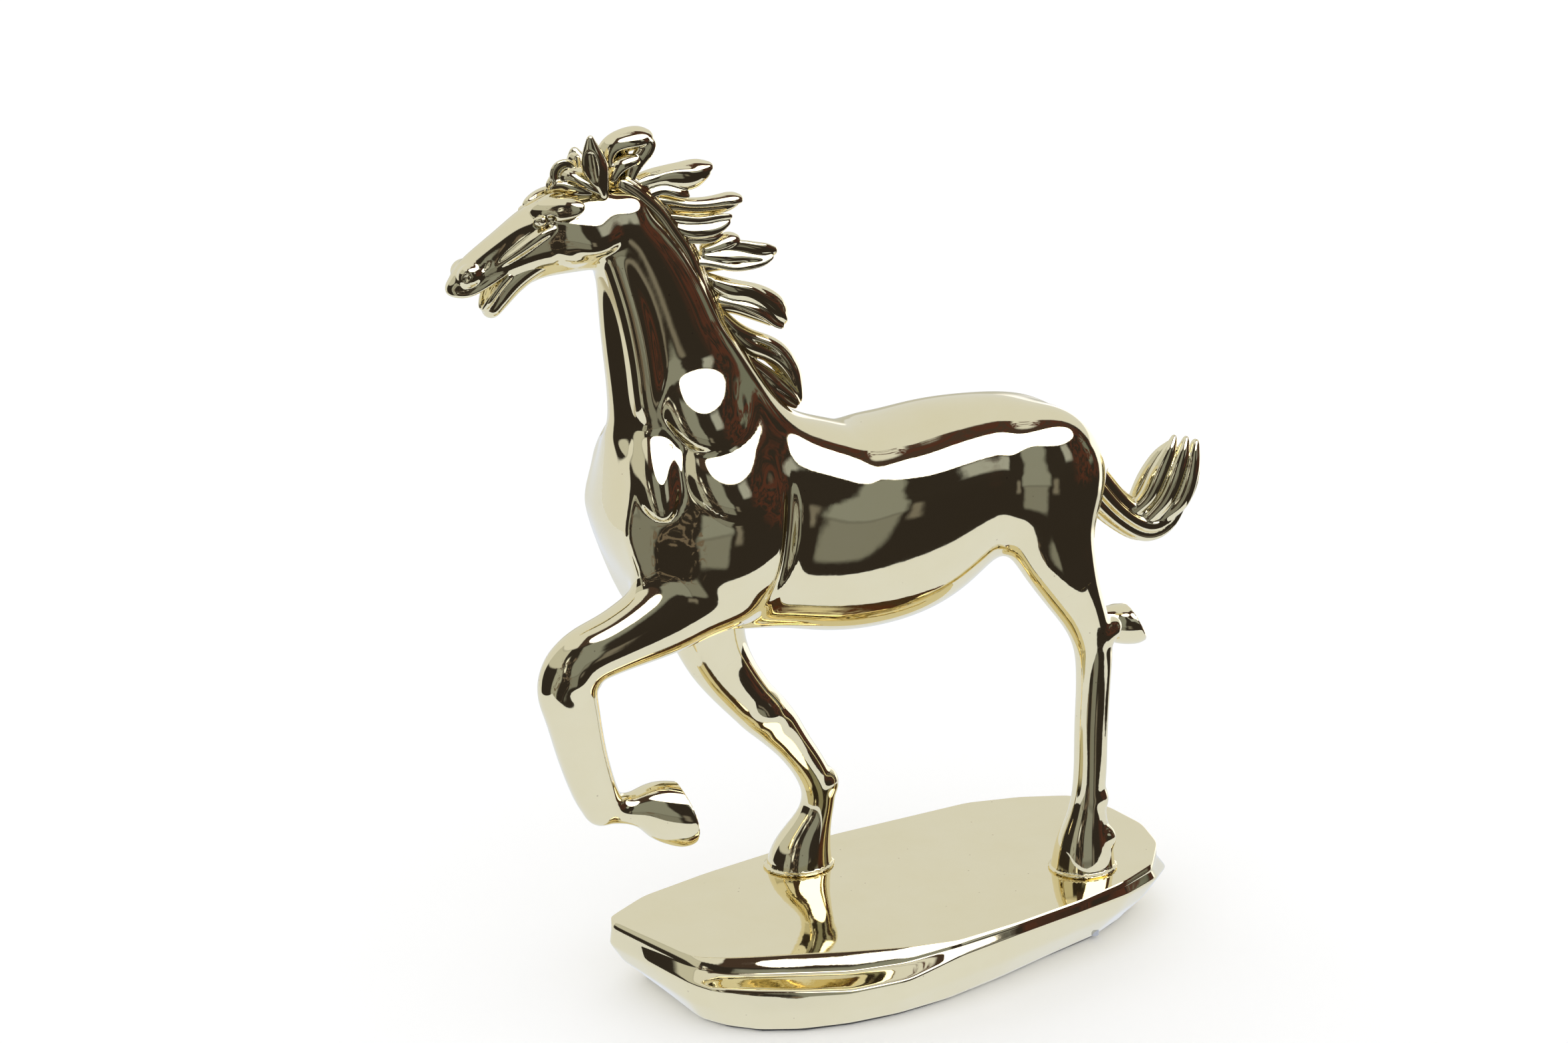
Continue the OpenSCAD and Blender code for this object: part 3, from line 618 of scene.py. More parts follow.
# The strands of each lock: x, y, z and radius along them
STRANDS = {
    "poll_lock": [
        level(-1, (-60, 283, 1.8), (-61, 288.5, 1.9), (-58, 292, 2.1), (-52.5, 293.3, 2.5),
              (-48, 293.4, 2.4), (-45.7, 292.8, 1.5)),
        [(-46.5, -2, 292, 1.7), (-47.5, -2, 289.5, 1.9), (-49.5, -2, 287, 1.7), (-51.5, -2, 284.5, 1.5),
         (-53, -2, 281, 1.2), (-54, -1, 277, 1.2)],
        level(-3, (-60, 281, 1.3), (-57.5, 285, 1.6), (-53.5, 286.5, 1.6), (-50.5, 287, 1)),
        [(-59, 2, 279, 1.8), (-59.5, 2, 286, 1.9), (-55, 1.5, 290, 2), (-49, 1, 291, 1.8),
         (-46.5, 1, 290, 1)],
        [(-56, 1, 275, 3.0), (-56, 1, 283, 2.4), (-54, 0, 288, 1.6)]],
    "mane_lock_1": [
        level(-1, (-53, 278, 1.4), (-47.5, 280, 1.7), (-41.5, 281, 1.8), (-35, 281.5, 2),
              (-29.5, 282, 2.1), (-25, 282, 0.8)),
        level(-1.5, (-48, 277.5, 1.3), (-42, 279.2, 1.8), (-37, 279, 2.6), (-32, 278.5, 2.6),
              (-28, 280, 1.8), (-26, 281, 0.8)),
        level(-2, (-49, 274.5, 1.3), (-42.5, 276.7, 1.4), (-38.5, 275.5, 1.5), (-35, 274, 1.3),
              (-33, 273.5, 0.6)),
        [(-50, 2, 275, 1.8), (-42, 2, 278.5, 2), (-35, 1.5, 279.5, 2.1), (-29, 0.5, 281, 1.5),
         (-26, 0, 281.6, 0.8)]],
    "mane_lock_2": [
        level(-1, (-47.5, 274.5, 1), (-43.5, 273.5, 1.5), (-39, 272.5, 1.3), (-34, 271, 1.2),
              (-26.5, 270.5, 1.3), (-21, 271, 1.5), (-17.5, 271, 1.7), (-15, 270.5, 0.9)),
        level(-2.5, (-43, 267.5, 1), (-36, 266, 1.1), (-30, 265, 1), (-23.5, 265.5, 0.9),
              (-18.5, 265.5, 0.6)),
        level(-2, (-40, 265.5, 1.2), (-35, 263, 2), (-30, 262.5, 2.2), (-25, 262.5, 1.9),
              (-21.5, 263.5, 1.4), (-19.5, 264.5, 0.6)),
        level(-2, (-38, 259.5, 1), (-31, 259.7, 1.5), (-26.5, 259.5, 1.7), (-23, 260.5, 1.2),
              (-22, 261, 0.6)),
        [(-44, 1.5, 270, 2), (-36, 1.5, 269, 2.2), (-27, 1.2, 268, 2), (-19, 0.5, 268.5, 1.7),
         (-16, 0, 269.6, 0.8)],
        [(-42, 2, 264, 2), (-35, 2, 264.5, 2.3), (-28, 1.8, 264.5, 2), (-21, 1.2, 265.5, 1)],
        [(-38, 1, 261, 2), (-31, 0.5, 261, 2.2), (-24, 0, 262, 1.2)]],
    "mane_lock_3": [
        level(-1, (-29, 255.5, 1.1), (-22.5, 257, 1.7), (-19, 258.3, 1.8), (-16, 257.5, 0.9)),
        level(-1, (-27, 254.5, 1), (-21, 255, 1.2), (-16.5, 255.2, 1.6), (-11, 253.5, 1.9),
              (-6.5, 252.8, 1.8), (-3.2, 252.3, 0.9)),
        level(-1.5, (-29, 254, 1.1), (-21, 253, 1.8), (-16.5, 252.5, 1.6), (-13, 252, 1.4),
              (-8.5, 251, 1.4), (-4.5, 251, 0.7)),
        level(-2, (-33, 252.5, 1.1), (-26.5, 251.5, 1.4), (-21.5, 250, 1.4), (-17, 249, 1.3),
              (-12.5, 249.5, 1.5), (-7.5, 250, 1.2), (-4.5, 251.5, 0.5)),
        [(-32, 1.5, 251, 2.2), (-24, 1.5, 252.5, 2.4), (-16, 1, 252.3, 2.2), (-9, 0.5, 251.6, 1.6),
         (-4.5, 0, 251.9, 0.8)],
        [(-32, 1.5, 248, 1.8), (-25, 1.5, 249.5, 2), (-18, 1, 249.2, 1.5), (-14, 0.5, 249.5, 0.8)]],
    "mane_lock_4": [
        level(-1, (-29.5, 247.5, 0.9), (-21, 244, 1.2), (-15.5, 242, 1.4), (-10.5, 240.5, 1.5),
              (-5.5, 238, 1.7), (-1.5, 234.7, 1.7), (0, 231, 1.2), (0.2, 229, 0.5)),
        level(-1.5, (-25.5, 244, 1.3), (-19, 240.5, 2.4), (-13.5, 239.3, 2.3), (-8.5, 236.3, 2.1),
              (-4.2, 232.5, 2), (-1.7, 230, 1.7), (-0.3, 228.5, 0.8)),
        level(-2, (-24, 239, 1), (-19, 237.5, 1.1), (-15.5, 236.5, 1.4), (-11, 234.5, 1.5),
              (-7, 232, 1.4), (-4, 229, 1.2), (-1, 227.5, 0.8)),
        [(-28, 1.5, 242, 2.2), (-20, 1.5, 240, 2.5), (-12, 1, 237, 2.3), (-5, 0.5, 233.5, 1.9),
         (-1, 0, 229.5, 0.9)],
        [(-26, 1.5, 236, 2), (-18, 1.5, 235.5, 2.3), (-11, 1, 232.5, 2), (-4, 0.5, 228.5, 1.2)]],
    "mane_lock_5": [
        level(-1, (-24, 236, 1), (-18, 229.5, 1.6), (-13.5, 226.5, 1.4), (-10.5, 225, 1.3),
              (-6, 223, 1.4), (-1.5, 219.7, 1.7), (2, 215.2, 1.9), (4.2, 210.5, 1.7), (5.2, 204.5, 1.2),
              (5.4, 200.5, 0.5)),
        level(-1.5, (-20.5, 229, 1.2), (-14.5, 222.5, 1.7), (-10, 220, 1.6), (-6, 218, 1.4),
              (-2, 215.3, 1.5), (1.5, 211, 1.6), (3.9, 205.5, 1.2), (5, 201, 0.5)),
        level(-2.5, (-15, 219, 1), (-9, 214, 1.5), (-4, 209.5, 1.9), (0, 206, 1.5), (3, 203, 1.2),
              (4.5, 200.5, 0.5)),
        level(-3, (-14, 217, 1), (-9, 211.5, 1.4), (-4.5, 206.5, 1.4), (0.5, 202, 1.2),
              (3.5, 200, 0.6)),
        [(-22, 1.5, 226, 2), (-14, 1.5, 223, 2.3), (-6, 1, 218.5, 2.2), (0, 0.5, 212.5, 2),
         (3.5, 0, 206, 1.4), (5, 0, 201, 0.6)],
        [(-16, 1.5, 215, 2), (-9, 1.5, 213, 2.2), (-3, 1, 208.5, 2), (2, 0.5, 203.5, 1.2)]],
    "forelock": [
        [(-76, -4, 283, 1.2), (-74.5, -4.6, 285, 1.5), (-70, -5.4, 283, 2.2), (-66.5, -6.4, 280.3, 1.8),
         (-63.2, -7.4, 277.3, 0.4)],
        [(-79, -3.5, 279, 1), (-78, -4, 281, 1.2), (-74.5, -5, 279.7, 1.5), (-70, -5.5, 278.3, 1.4),
         (-66.5, -6, 278, 0.7)],
        level(-3, (-72, 284, 1.2), (-73, 287, 1.5), (-76.5, 287, 1.5), (-78.2, 284.7, 1.5),
              (-77.4, 282, 1.5), (-75, 281, 1.4), (-72.5, 282, 1)),
        level(-1, (-70, 280, 1.8), (-71.3, 286, 1.7), (-70.4, 289.3, 1.3)),
        level(-2, (-67.5, 281, 1.8), (-70.5, 285, 1.8), (-73.5, 283, 1.5), (-75.5, 282, 1.2)),
        [(-66, 1, 279, 2), (-70, 2, 283.5, 2.2), (-75, 2, 282.5, 2), (-78.5, 1.5, 279.5, 1)],
        [(-67, 3, 278, 1.8), (-71, 4.5, 281, 1.8), (-75, 5, 279.5, 1.4), (-78, 5, 277, 0.7)]]}


def strand_field(strands, soft=0.6, step=0.9, tilts=(48, -22, 40)):
    """Flat ribbons of hair; those on the near side lean by turns to and from the light."""
    field = None
    for i, strand in enumerate(strands):
        near = strand[len(strand) // 2][1] < 0
        wide, thin = (1.55, 0.85) if near else (1.2, 1.0)
        limb = Limb([(x, y, z, r * thin, r * wide) for x, y, z, r in strand], step,
                    tilt=tilts[i % len(tilts)] if near else 0.0)
        if field is None:
            field = Sculpt(limb)
        else:
            field.add(limb, soft)
    return field


def bounds_of(tables, margin=1.5):
    """Corners of a box that holds the strands with room to spare."""
    pts = np.array([p[:3] for t in tables for p in t], float)
    rad = 1.6 * max(max(p[3:5]) for t in tables for p in t)
    return pts.min(0) - rad - margin, pts.max(0) + rad + margin


def build_hair():
    made = []
    for name, strands in STRANDS.items():
        lo, hi = bounds_of(strands)
        made.append(sculpted(name, strand_field(strands), lo, hi, 0.4))
    return made


CREST = [(-57.5, 280, 1.2), (-53, 277.5, 1.4), (-48.5, 273.5, 1.4), (-43.5, 268.5, 1.4),
         (-40, 263, 1.4), (-35.5, 256.5, 1.4), (-33, 250.5, 1.4), (-29.5, 242, 1.4),
         (-25.5, 233, 1.4), (-22.5, 225, 1.4), (-18.5, 219, 1.3), (-14, 213.5, 1.3),
         (-9.5, 207.5, 1.2), (-5, 202, 1.1), (-1, 198.5, 0.8)]


def build_comb():
    """The bead along the crest: strands side by side that the locks spring from."""
    rows = []
    for y, lift, size in ((-4, 0, 1.0), (-2.9, 1.5, 0.9), (-1.6, 2.6, 0.9), (0, 3.2, 1.0),
                          (1.6, 2.6, 0.9), (2.9, 1.5, 0.9), (4, 0, 1.0), (0, 0.6, 2.0)):
        rows.append([(x + 0.75 * lift, y, z + 0.55 * lift, r * size) for x, z, r in CREST])
    lo, hi = bounds_of(rows)
    return sculpted("mane_comb", strand_field(rows, 0.5, 1.2, (0, 12)), lo, hi, 0.5)


# The tail's ends: x, y, z and radius along each
TAIL_TIPS = [
    [(131, -2, 147, 2.4), (136, -3, 152, 3.0), (140, -3, 160, 3.2), (144.5, -2.5, 168, 2.2),
     (146.8, -1, 172.0, 0.8)],
    [(136, -3, 144, 2.6), (142, -4, 151, 3.4), (146, -4, 160, 3.4), (149.3, -3, 167, 2.4),
     (151.0, -2, 171.2, 0.9)],
    [(141, -2.5, 143, 2.8), (148, -4, 149, 3.5), (151.5, -4, 158, 3.4), (153.4, -3, 165, 2.6),
     (154.8, -2, 169.2, 1.3)],
    [(146, 0, 144, 2.8), (151.6, -1, 150, 3.2), (154.6, -1, 157, 2.8), (156.0, 0, 162, 1.8)],
    [(134, 3, 148, 2.6), (139, 4, 156, 3.2), (144, 3.5, 164, 2.6), (147.6, 2, 168.6, 1.2)],
    [(142, 3, 146, 2.8), (148.5, 4, 153, 3.4), (151.5, 3.5, 161, 2.8), (153.0, 2, 166.6, 1.4)],
    [(137, 0, 142, 5), (144, 0, 149, 6), (147.6, 0, 158, 5.4), (149.5, 0, 164, 3.4)]]


def build_tail():
    """A grooved core that drops and turns up again, with loose ends round its tip."""
    field = Sculpt(Limb([(106, 0, 168, 5, 7), (114, 0, 160, 5.6, 7.6), (121.5, 0, 151.5, 5.6, 7),
                         (129, 0, 145, 5.6, 6.6), (137, 0, 140.8, 6, 7),
                         (143.5, 0, 142.6, 5.6, 6.6), (148, 0, 149, 4.6, 5.4)],
                        1.6, flutes=(7, 0.55, 1.5, 0.6)))
    for tip in TAIL_TIPS:
        field.add(Limb([(x, y, z, r, r) for x, y, z, r in tip], 0.9), 0.7)
    return sculpted("tail", field, (98, -10, 128), (161, 10, 178), 0.5)


def build_jaw():
    """Lower jaw: its bone, the hollow of the open mouth, the lip round it and the tongue."""
    jaw = Sculpt(Limb([(-76, 0, 259, 7.0, 4.6), (-82.5, 0, 257.6, 6.4, 4.8), (-88.5, 0, 254.6, 5.8, 5.0),
                       (-93.5, 0, 250.4, 5.2, 4.6), (-97.2, 0, 245.6, 4.6, 4.0),
                       (-98.8, 0, 243.0, 3.6, 3.0)], 1.2))
    jaw.cut(Limb([(-94.8, -0.6, 256.5, 3.0, 2.6), (-99.6, -0.8, 250.6, 3.5, 3.0),
                  (-101.8, -0.6, 245.8, 2.8, 2.4)], 1.0), 0.8)
    jaw.add(mirrored_limb([(-93.5, 4.6, 254.4, 1.0, 1.0), (-97.0, 4.6, 251.2, 1.0, 1.0),
                           (-100.2, 3.8, 246.6, 1.0, 1.0), (-101.4, 1.4, 243.4, 1.0, 1.0)], 0.8), 0.8)
    jaw.add(Blob((-95.5, 0, 250.0), (5.4, 2.0, 1.4), 50), 0.8)
    return sculpted("lower_jaw", jaw, (-104, -10, 236), (-66, 10, 268), 0.4)


EAR_FOOT = 281.0          # height at which both ears leave the head


def build_ears():
    """Leaf-shaped ears with a hollow on the outside; the right one is a little lower."""
    made = []
    for name, y, top in (("left_ear", -1, 297), ("right_ear", 1, 290)):
        rise = (top - EAR_FOOT) / 16.0
        ear = Sculpt(Limb([(-63.5, 5.6 * y, 277, 2.2, 2.2), (-64.5, 6.6 * y, EAR_FOOT, 2.6, 3.0),
                           (-66, 7.4 * y, EAR_FOOT + 4.5 * rise, 2.6, 4.4),
                           (-67, 7.8 * y, EAR_FOOT + 8 * rise, 2.3, 4.0),
                           (-67.6, 7.8 * y, EAR_FOOT + 12 * rise, 1.4, 2.4),
                           (-67.8, 7.8 * y, EAR_FOOT + 15.6 * rise, 0.4, 0.6)], 0.9))
        ear.cut(Limb([(-67, 10.2 * y, EAR_FOOT, 1.4, 1.4),
                      (-68.4, 10.6 * y, EAR_FOOT + 5 * rise, 2.4, 2.6),
                      (-69, 9.8 * y, EAR_FOOT + 10 * rise, 1.2, 1.8)], 0.9), 0.6)
        lo, hi = (-74, min(2 * y, 13 * y), 273), (-57, max(2 * y, 13 * y), 300)
        made.append(sculpted(name, ear, lo, hi, 0.35))
    return made


# ---------------------------------------------------------------- plinth

# The plinth's outline, in the frame's own millimetres: the top edge's x, y, then x, y, z
# where it is widest, then its foot's x, y
ROCK = [(-102, 12, -103, 12, 15, -91, 11), (-95, -3, -97, -5, 15, -88, -4),
        (-84, -25, -89, -28, 16, -84, -27), (-72, -28, -83, -36, 16, -78, -35),
        (-62, -30, -70, -42, 15.5, -69, -42), (-50, -32.5, -56, -47, 15, -56, -47),
        (-34, -37, -40, -52, 14.5, -40, -49.5), (-17, -43, -20, -54, 15.5, -22, -49.5),
        (0, -48, 0, -51.5, 19, -2, -46.5), (25, -44, 25, -46.5, 20, 20, -40),
        (53, -37, 53, -39.5, 20, 45, -31), (73, -30, 75, -32, 19, 66, -24),
        (88, -22, 91, -23, 18, 80, -16), (96, -8, 105, -6, 13, 91, -7),
        (101, 8, 104, 9, 15, 93, 7), (98, 26, 99, 27, 16, 90, 23), (90, 40, 91, 42, 16, 83, 35),
        (72, 46, 73, 48, 16, 67, 41), (52, 49, 52, 51, 16, 48, 43), (24, 46, 24, 48, 16, 22, 40),
        (-4, 43, -4, 45, 16, -3, 37), (-30, 38, -31, 40, 16, -28, 32),
        (-58, 31, -60, 33, 16, -55, 25), (-84, 23, -87, 24, 15, -80, 18)]


def blur(a, axis, sigma, cyclic):
    """Gaussian blur along one axis, which may close on itself."""
    n = int(sigma * 3) + 1
    w = np.exp(-0.5 * (np.arange(-n, n + 1) / sigma) ** 2)
    w /= w.sum()
    out = np.zeros_like(a)
    pad = [(0, 0)] * a.ndim
    pad[axis] = (n, n)
    wide = np.pad(a, pad, mode="wrap" if cyclic else "edge")
    for i, x in enumerate(w):
        out += x * np.take(wide, np.arange(i, i + a.shape[axis]), axis)
    return out


FOOT_Z = 1.6              # height of the plinth's foot, where the felt begins
SWELL = 1.6               # how far the wall swells out between its foot and its widest
FLAT_CHAMFER = 6.0        # chamfers wider than this are hollowed,
HOLLOW = 0.22             # by this share of what they are wider
INNER = np.array([0.86, 0.80])     # the top's inner ring, as shares of the edge's x and y
CENTRE = np.array([0.1, 0.1])      # and the smallest ring, round the middle
# rows of faces from foot to swell, widest, hollow, top edge, inner ring and centre
ROWS = [9, 9, 10, 10, 14, 10]
WIDEST_ROW = ROWS[0] + ROWS[1]
FLAT_FROM = 30            # rows from here on are level with the top
STEP_ROUND = 1.3          # length of a face round the outline
SOFTEN = (1.7, 0.95)      # blur round the outline and across it, in points


def plinth_line(tx, ty, wx, wy, wz, fx, fy):
    """One profile, from the foot up the wall and over the top to the middle."""
    top, wide, foot = (np.array(v) for v in ([tx, ty, BASE_TOP], [wx, wy, wz], [fx, fy, FOOT_Z]))
    gap = math.hypot(tx - wx, ty - wy)
    swell = foot + (wide - foot) * 0.5 + np.array([wx, wy, 0]) / math.hypot(wx, wy) * SWELL
    hollow = (top + wide) / 2 - np.array([0, 0, 1.0]) * max(0.0, gap - FLAT_CHAMFER) * HOLLOW
    inner = np.array([tx * INNER[0], ty * INNER[1], BASE_TOP])
    centre = np.array([tx * CENTRE[0], ty * CENTRE[1], BASE_TOP])
    keys = [foot, swell, wide, hollow, top, inner, centre]
    line = [foot]
    for a, b, n in zip(keys, keys[1:], ROWS):
        line += [a + (b - a) * (i + 1) / n for i in range(n)]
    return line


def build_base():
    """Plinth: a skin of profiles round the outline, its edges softened, closed below."""
    rows = np.array([plinth_line(*row) for row in ROCK])
    widest = rows[:, WIDEST_ROW]
    steps = np.linalg.norm(np.roll(widest, -1, 0) - widest, axis=1)
    fine = []
    for i, d in enumerate(steps):
        n = max(int(round(d / STEP_ROUND)), 2)
        j = (i + 1) % len(rows)
        fine += [rows[i] + (rows[j] - rows[i]) * k / n for k in range(n)]
    grid = blur(np.array(fine), 0, SOFTEN[0], True)
    grid = blur(grid, 1, SOFTEN[1], False)
    grid[:, 0, 2] = FOOT_Z
    grid[:, FLAT_FROM:, 2] = BASE_TOP
    a, b = grid.shape[:2]
    mesh = bpy.data.meshes.new("base_shell")
    obj = bpy.data.objects.new("base_shell_cast", mesh)
    bm = bmesh.new()
    vs = [bm.verts.new(v * MM) for v in grid.reshape(-1, 3)]
    for i in range(a):
        j = (i + 1) % a
        for k in range(b - 1):
            ring = (i * b + k, j * b + k, j * b + k + 1, i * b + k + 1)
            bm.faces.new([vs[t] for t in ring]).smooth = True
    bm.faces.new([vs[i * b + b - 1] for i in range(a)]).smooth = True
    bm.faces.new([vs[i * b] for i in reversed(range(a))]).smooth = False
    bmesh.ops.recalc_face_normals(bm, faces=bm.faces)
    bmesh.ops.triangulate(bm, faces=[f for f in bm.faces if len(f.verts) > 4])
    bm.to_mesh(mesh)
    bm.free()
    bpy.context.scene.collection.objects.link(obj)
    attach(obj, "root")
    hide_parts("base_shell")
    return obj


STEEL_NODES = ["foreleg_dowels", "hind_leg_dowels", "tail_dowel", "base_cover", "hoof_studs",
               "hoof_washers", "hoof_nuts", "cover_screws"]
FELT_INSET = 1.3          # from the foot of the plinth's wall to the felt's edge
FELT_RINGS = [0.25, 0.5, 0.75, 0.93]       # rings of points, as shares of the outline
# the cut edge: how far it stands out, and at what share of the thickness
FELT_EDGE = [(0.0, 0.10), (0.25, 0.35), (0.30, 0.55), (0.25, 0.80), (0.0, 0.97)]
FELT_DRAWN = 0.5          # the edge lies this far inside the outline
FUZZ = 0.22               # how uneven it is


def felt_outline(inset, count=220):
    """Points round the plinth's foot, drawn in by the inset and spaced evenly."""
    foot = np.array([row[5:7] for row in ROCK], float)
    foot = foot * (1.0 - inset / np.linalg.norm(foot, axis=1))[:, None]
    ring = np.vstack([foot, foot[:1]])
    arc = np.r_[0, np.cumsum(np.linalg.norm(np.diff(ring, axis=0), axis=1))]
    at = np.linspace(0, arc[-1], count, endpoint=False)
    return np.stack([np.interp(at, arc, ring[:, k]) for k in (0, 1)], 1)


def build_felt():
    """Felt sheet: a thin closed slab with a soft, slightly uneven cut edge."""
    lo, hi = (np.array(v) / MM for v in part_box("felt_pad"))
    thick = hi[2] - lo[2]
    edge = felt_outline(FELT_INSET)
    rng = np.random.default_rng(7)
    fuzz = blur(rng.normal(0, 1, (len(edge), 1)), 0, 1.2, True)[:, 0] * FUZZ
    out = edge / np.linalg.norm(edge, axis=1)[:, None]
    # rings from the middle of the underside, round the edge, to the middle of the top
    rings = [(edge * k, 0.0) for k in FELT_RINGS]
    rings += [(edge + out * (fuzz[:, None] + proud - FELT_DRAWN), z) for proud, z in FELT_EDGE]
    rings += [(edge * k, 1.0) for k in reversed(FELT_RINGS)]
    n = len(edge)
    verts = [np.column_stack([xy, np.full(n, lo[2] + z * thick)]) for xy, z in rings]
    verts = np.vstack(verts + [[[0, 0, lo[2]]], [[0, 0, hi[2]]]])
    faces = []
    for r in range(len(rings) - 1):
        for i in range(n):
            j = (i + 1) % n
            faces.append((r * n + i, r * n + j, (r + 1) * n + j, (r + 1) * n + i))
    last = (len(rings) - 1) * n
    for i in range(n):
        j = (i + 1) % n
        faces.append((j, i, len(verts) - 2))
        faces.append((last + i, last + j, len(verts) - 1))
    mesh = bpy.data.meshes.new("felt_sheet")
    mesh.from_pydata((verts * MM).tolist(), [], faces)
    mesh.polygons.foreach_set("use_smooth", np.ones(len(faces), bool))
    obj = bpy.data.objects.new("felt_sheet", mesh)
    bpy.context.scene.collection.objects.link(obj)
    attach(obj, "root")
    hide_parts("felt_pad")
    return obj


# ---------------------------------------------------------------- materials

def add(nodes, kind, **values):
    """A node with some of its inputs and settings given by name."""
    node = nodes.new(kind)
    for name, value in values.items():
        key = name.replace("_", " ")
        if key in node.inputs:
            node.inputs[key].default_value = value
        else:
            setattr(node, name.lower(), value)
    return node


def ramp(nodes, links, source, low, high, to_low, to_high):
    """A value scaled from one range to another."""
    node = add(nodes, "ShaderNodeMapRange", From_Min=low, From_Max=high, To_Min=to_low,
               To_Max=to_high)
    links.new(source, node.inputs["Value"])
    return node.outputs["Result"]


def mixed(nodes, links, factor, first, second):
    """Two colours mixed; each is three numbers or another node's output."""
    node = nodes.new("ShaderNodeMix")
    node.data_type = "RGBA"
    links.new(factor, node.inputs[0])
    for socket, colour in ((node.inputs[6], first), (node.inputs[7], second)):
        if isinstance(colour, tuple):
            socket.default_value = (*colour, 1)
        else:
            links.new(colour, socket)
    return node.outputs[2]


def bumped(nodes, links, height, strength, distance, under=None):
    """Normal of a bump, on top of another bump's if one is given."""
    node = add(nodes, "ShaderNodeBump", Strength=strength, Distance=distance)
    links.new(height, node.inputs["Height"])
    if under:
        links.new(under, node.inputs["Normal"])
    return node.outputs[0]


def plain_material(name, **values):
    """A material with one principled shader, with the values given by name."""
    material = bpy.data.materials.new(name)
    material.use_nodes = True
    nodes, links = material.node_tree.nodes, material.node_tree.links
    nodes.clear()
    shader = add(nodes, "ShaderNodeBsdfPrincipled", **values)
    links.new(shader.outputs[0], nodes.new("ShaderNodeOutputMaterial").inputs["Surface"])
    return material, nodes, links, shader.inputs


def textured(name, textures, **values):
    """A plain material and the outputs of textures laid out in the object's own coordinates;
    a texture is its node's name and values."""
    material, nodes, links, sockets = plain_material(name, **values)
    where = nodes.new("ShaderNodeTexCoord").outputs["Object"]
    made = []
    for kind, settings in textures:
        made.append(add(nodes, kind, **settings))
        links.new(where, made[-1].inputs["Vector"])
    return material, nodes, links, sockets, made


def gold_material():
    """Pale gold plate, mirror polished, with faint ripples, haze and a few specks of dust."""
    m, nodes, links, sockets, (haze, grain, ripple, specks) = textured(
        "gold_plate", [("ShaderNodeTexNoise", dict(Scale=45.0, Detail=5.0, Roughness=0.6)),
                       ("ShaderNodeTexNoise", dict(Scale=1600.0, Detail=3.0)),
                       ("ShaderNodeTexNoise", dict(Scale=160.0, Detail=2.0)),
                       ("ShaderNodeTexVoronoi", dict(Scale=150.0))], Metallic=1.0)
    speck = ramp(nodes, links, specks.outputs["Distance"], 0.035, 0.05, 1.0, 0.0)
    tint = ramp(nodes, links, haze.outputs[0], 0.35, 0.70, 0.0, 1.0)
    plate = mixed(nodes, links, tint, (0.90, 0.805, 0.53), (0.885, 0.785, 0.50))
    links.new(mixed(nodes, links, speck, plate, (0.62, 0.52, 0.34)), sockets["Base Color"])
    rough = ramp(nodes, links, haze.outputs[0], 0.30, 0.75, 0.018, 0.055)
    fine = ramp(nodes, links, grain.outputs[0], 0.45, 0.75, 0.0, 0.02)
    total = add(nodes, "ShaderNodeMath", operation="ADD")
    links.new(rough, total.inputs[0])
    links.new(fine, total.inputs[1])
    links.new(total.outputs[0], sockets["Roughness"])
    waves = bumped(nodes, links, ripple.outputs[0], 0.06, 0.0004)
    links.new(bumped(nodes, links, grain.outputs[0], 0.05, 0.00003, waves), sockets["Normal"])
    return m


def steel_material():
    """Machined steel: fine turning marks, slightly uneven shine."""
    m, nodes, links, sockets, (stain, stretch) = textured(
        "steel", [("ShaderNodeTexNoise", dict(Scale=40.0, Detail=4.0)),
                  ("ShaderNodeMapping", dict(Scale=(1, 1, 14)))], Metallic=1.0)
    marks = add(nodes, "ShaderNodeTexNoise", Scale=260.0, Detail=4.0)
    links.new(stretch.outputs[0], marks.inputs["Vector"])
    tone = ramp(nodes, links, stain.outputs[0], 0.3, 0.7, 0.0, 1.0)
    links.new(mixed(nodes, links, tone, (0.60, 0.61, 0.62), (0.47, 0.47, 0.46)),
              sockets["Base Color"])
    links.new(ramp(nodes, links, marks.outputs[0], 0.3, 0.7, 0.22, 0.42), sockets["Roughness"])
    links.new(bumped(nodes, links, marks.outputs[0], 0.25, 0.00008), sockets["Normal"])
    return m


def felt_material():
    """Black wool felt: matted fibres with a slight sheen."""
    m, nodes, links, sockets, (fibre, cloud) = textured(
        "felt", [("ShaderNodeTexNoise", dict(Scale=1900.0, Detail=5.0, Distortion=1.2)),
                 ("ShaderNodeTexNoise", dict(Scale=120.0, Detail=3.0))],
        Roughness=0.95, Sheen_Weight=0.35)
    tone = ramp(nodes, links, fibre.outputs[0], 0.35, 0.70, 0.0, 1.0)
    links.new(mixed(nodes, links, tone, (0.010, 0.010, 0.011), (0.035, 0.034, 0.036)),
              sockets["Base Color"])
    mat = bumped(nodes, links, fibre.outputs[0], 0.7, 0.0002)
    links.new(bumped(nodes, links, cloud.outputs[0], 0.3, 0.0005, mat), sockets["Normal"])
    return m


# ---------------------------------------------------------------- world, floor, camera

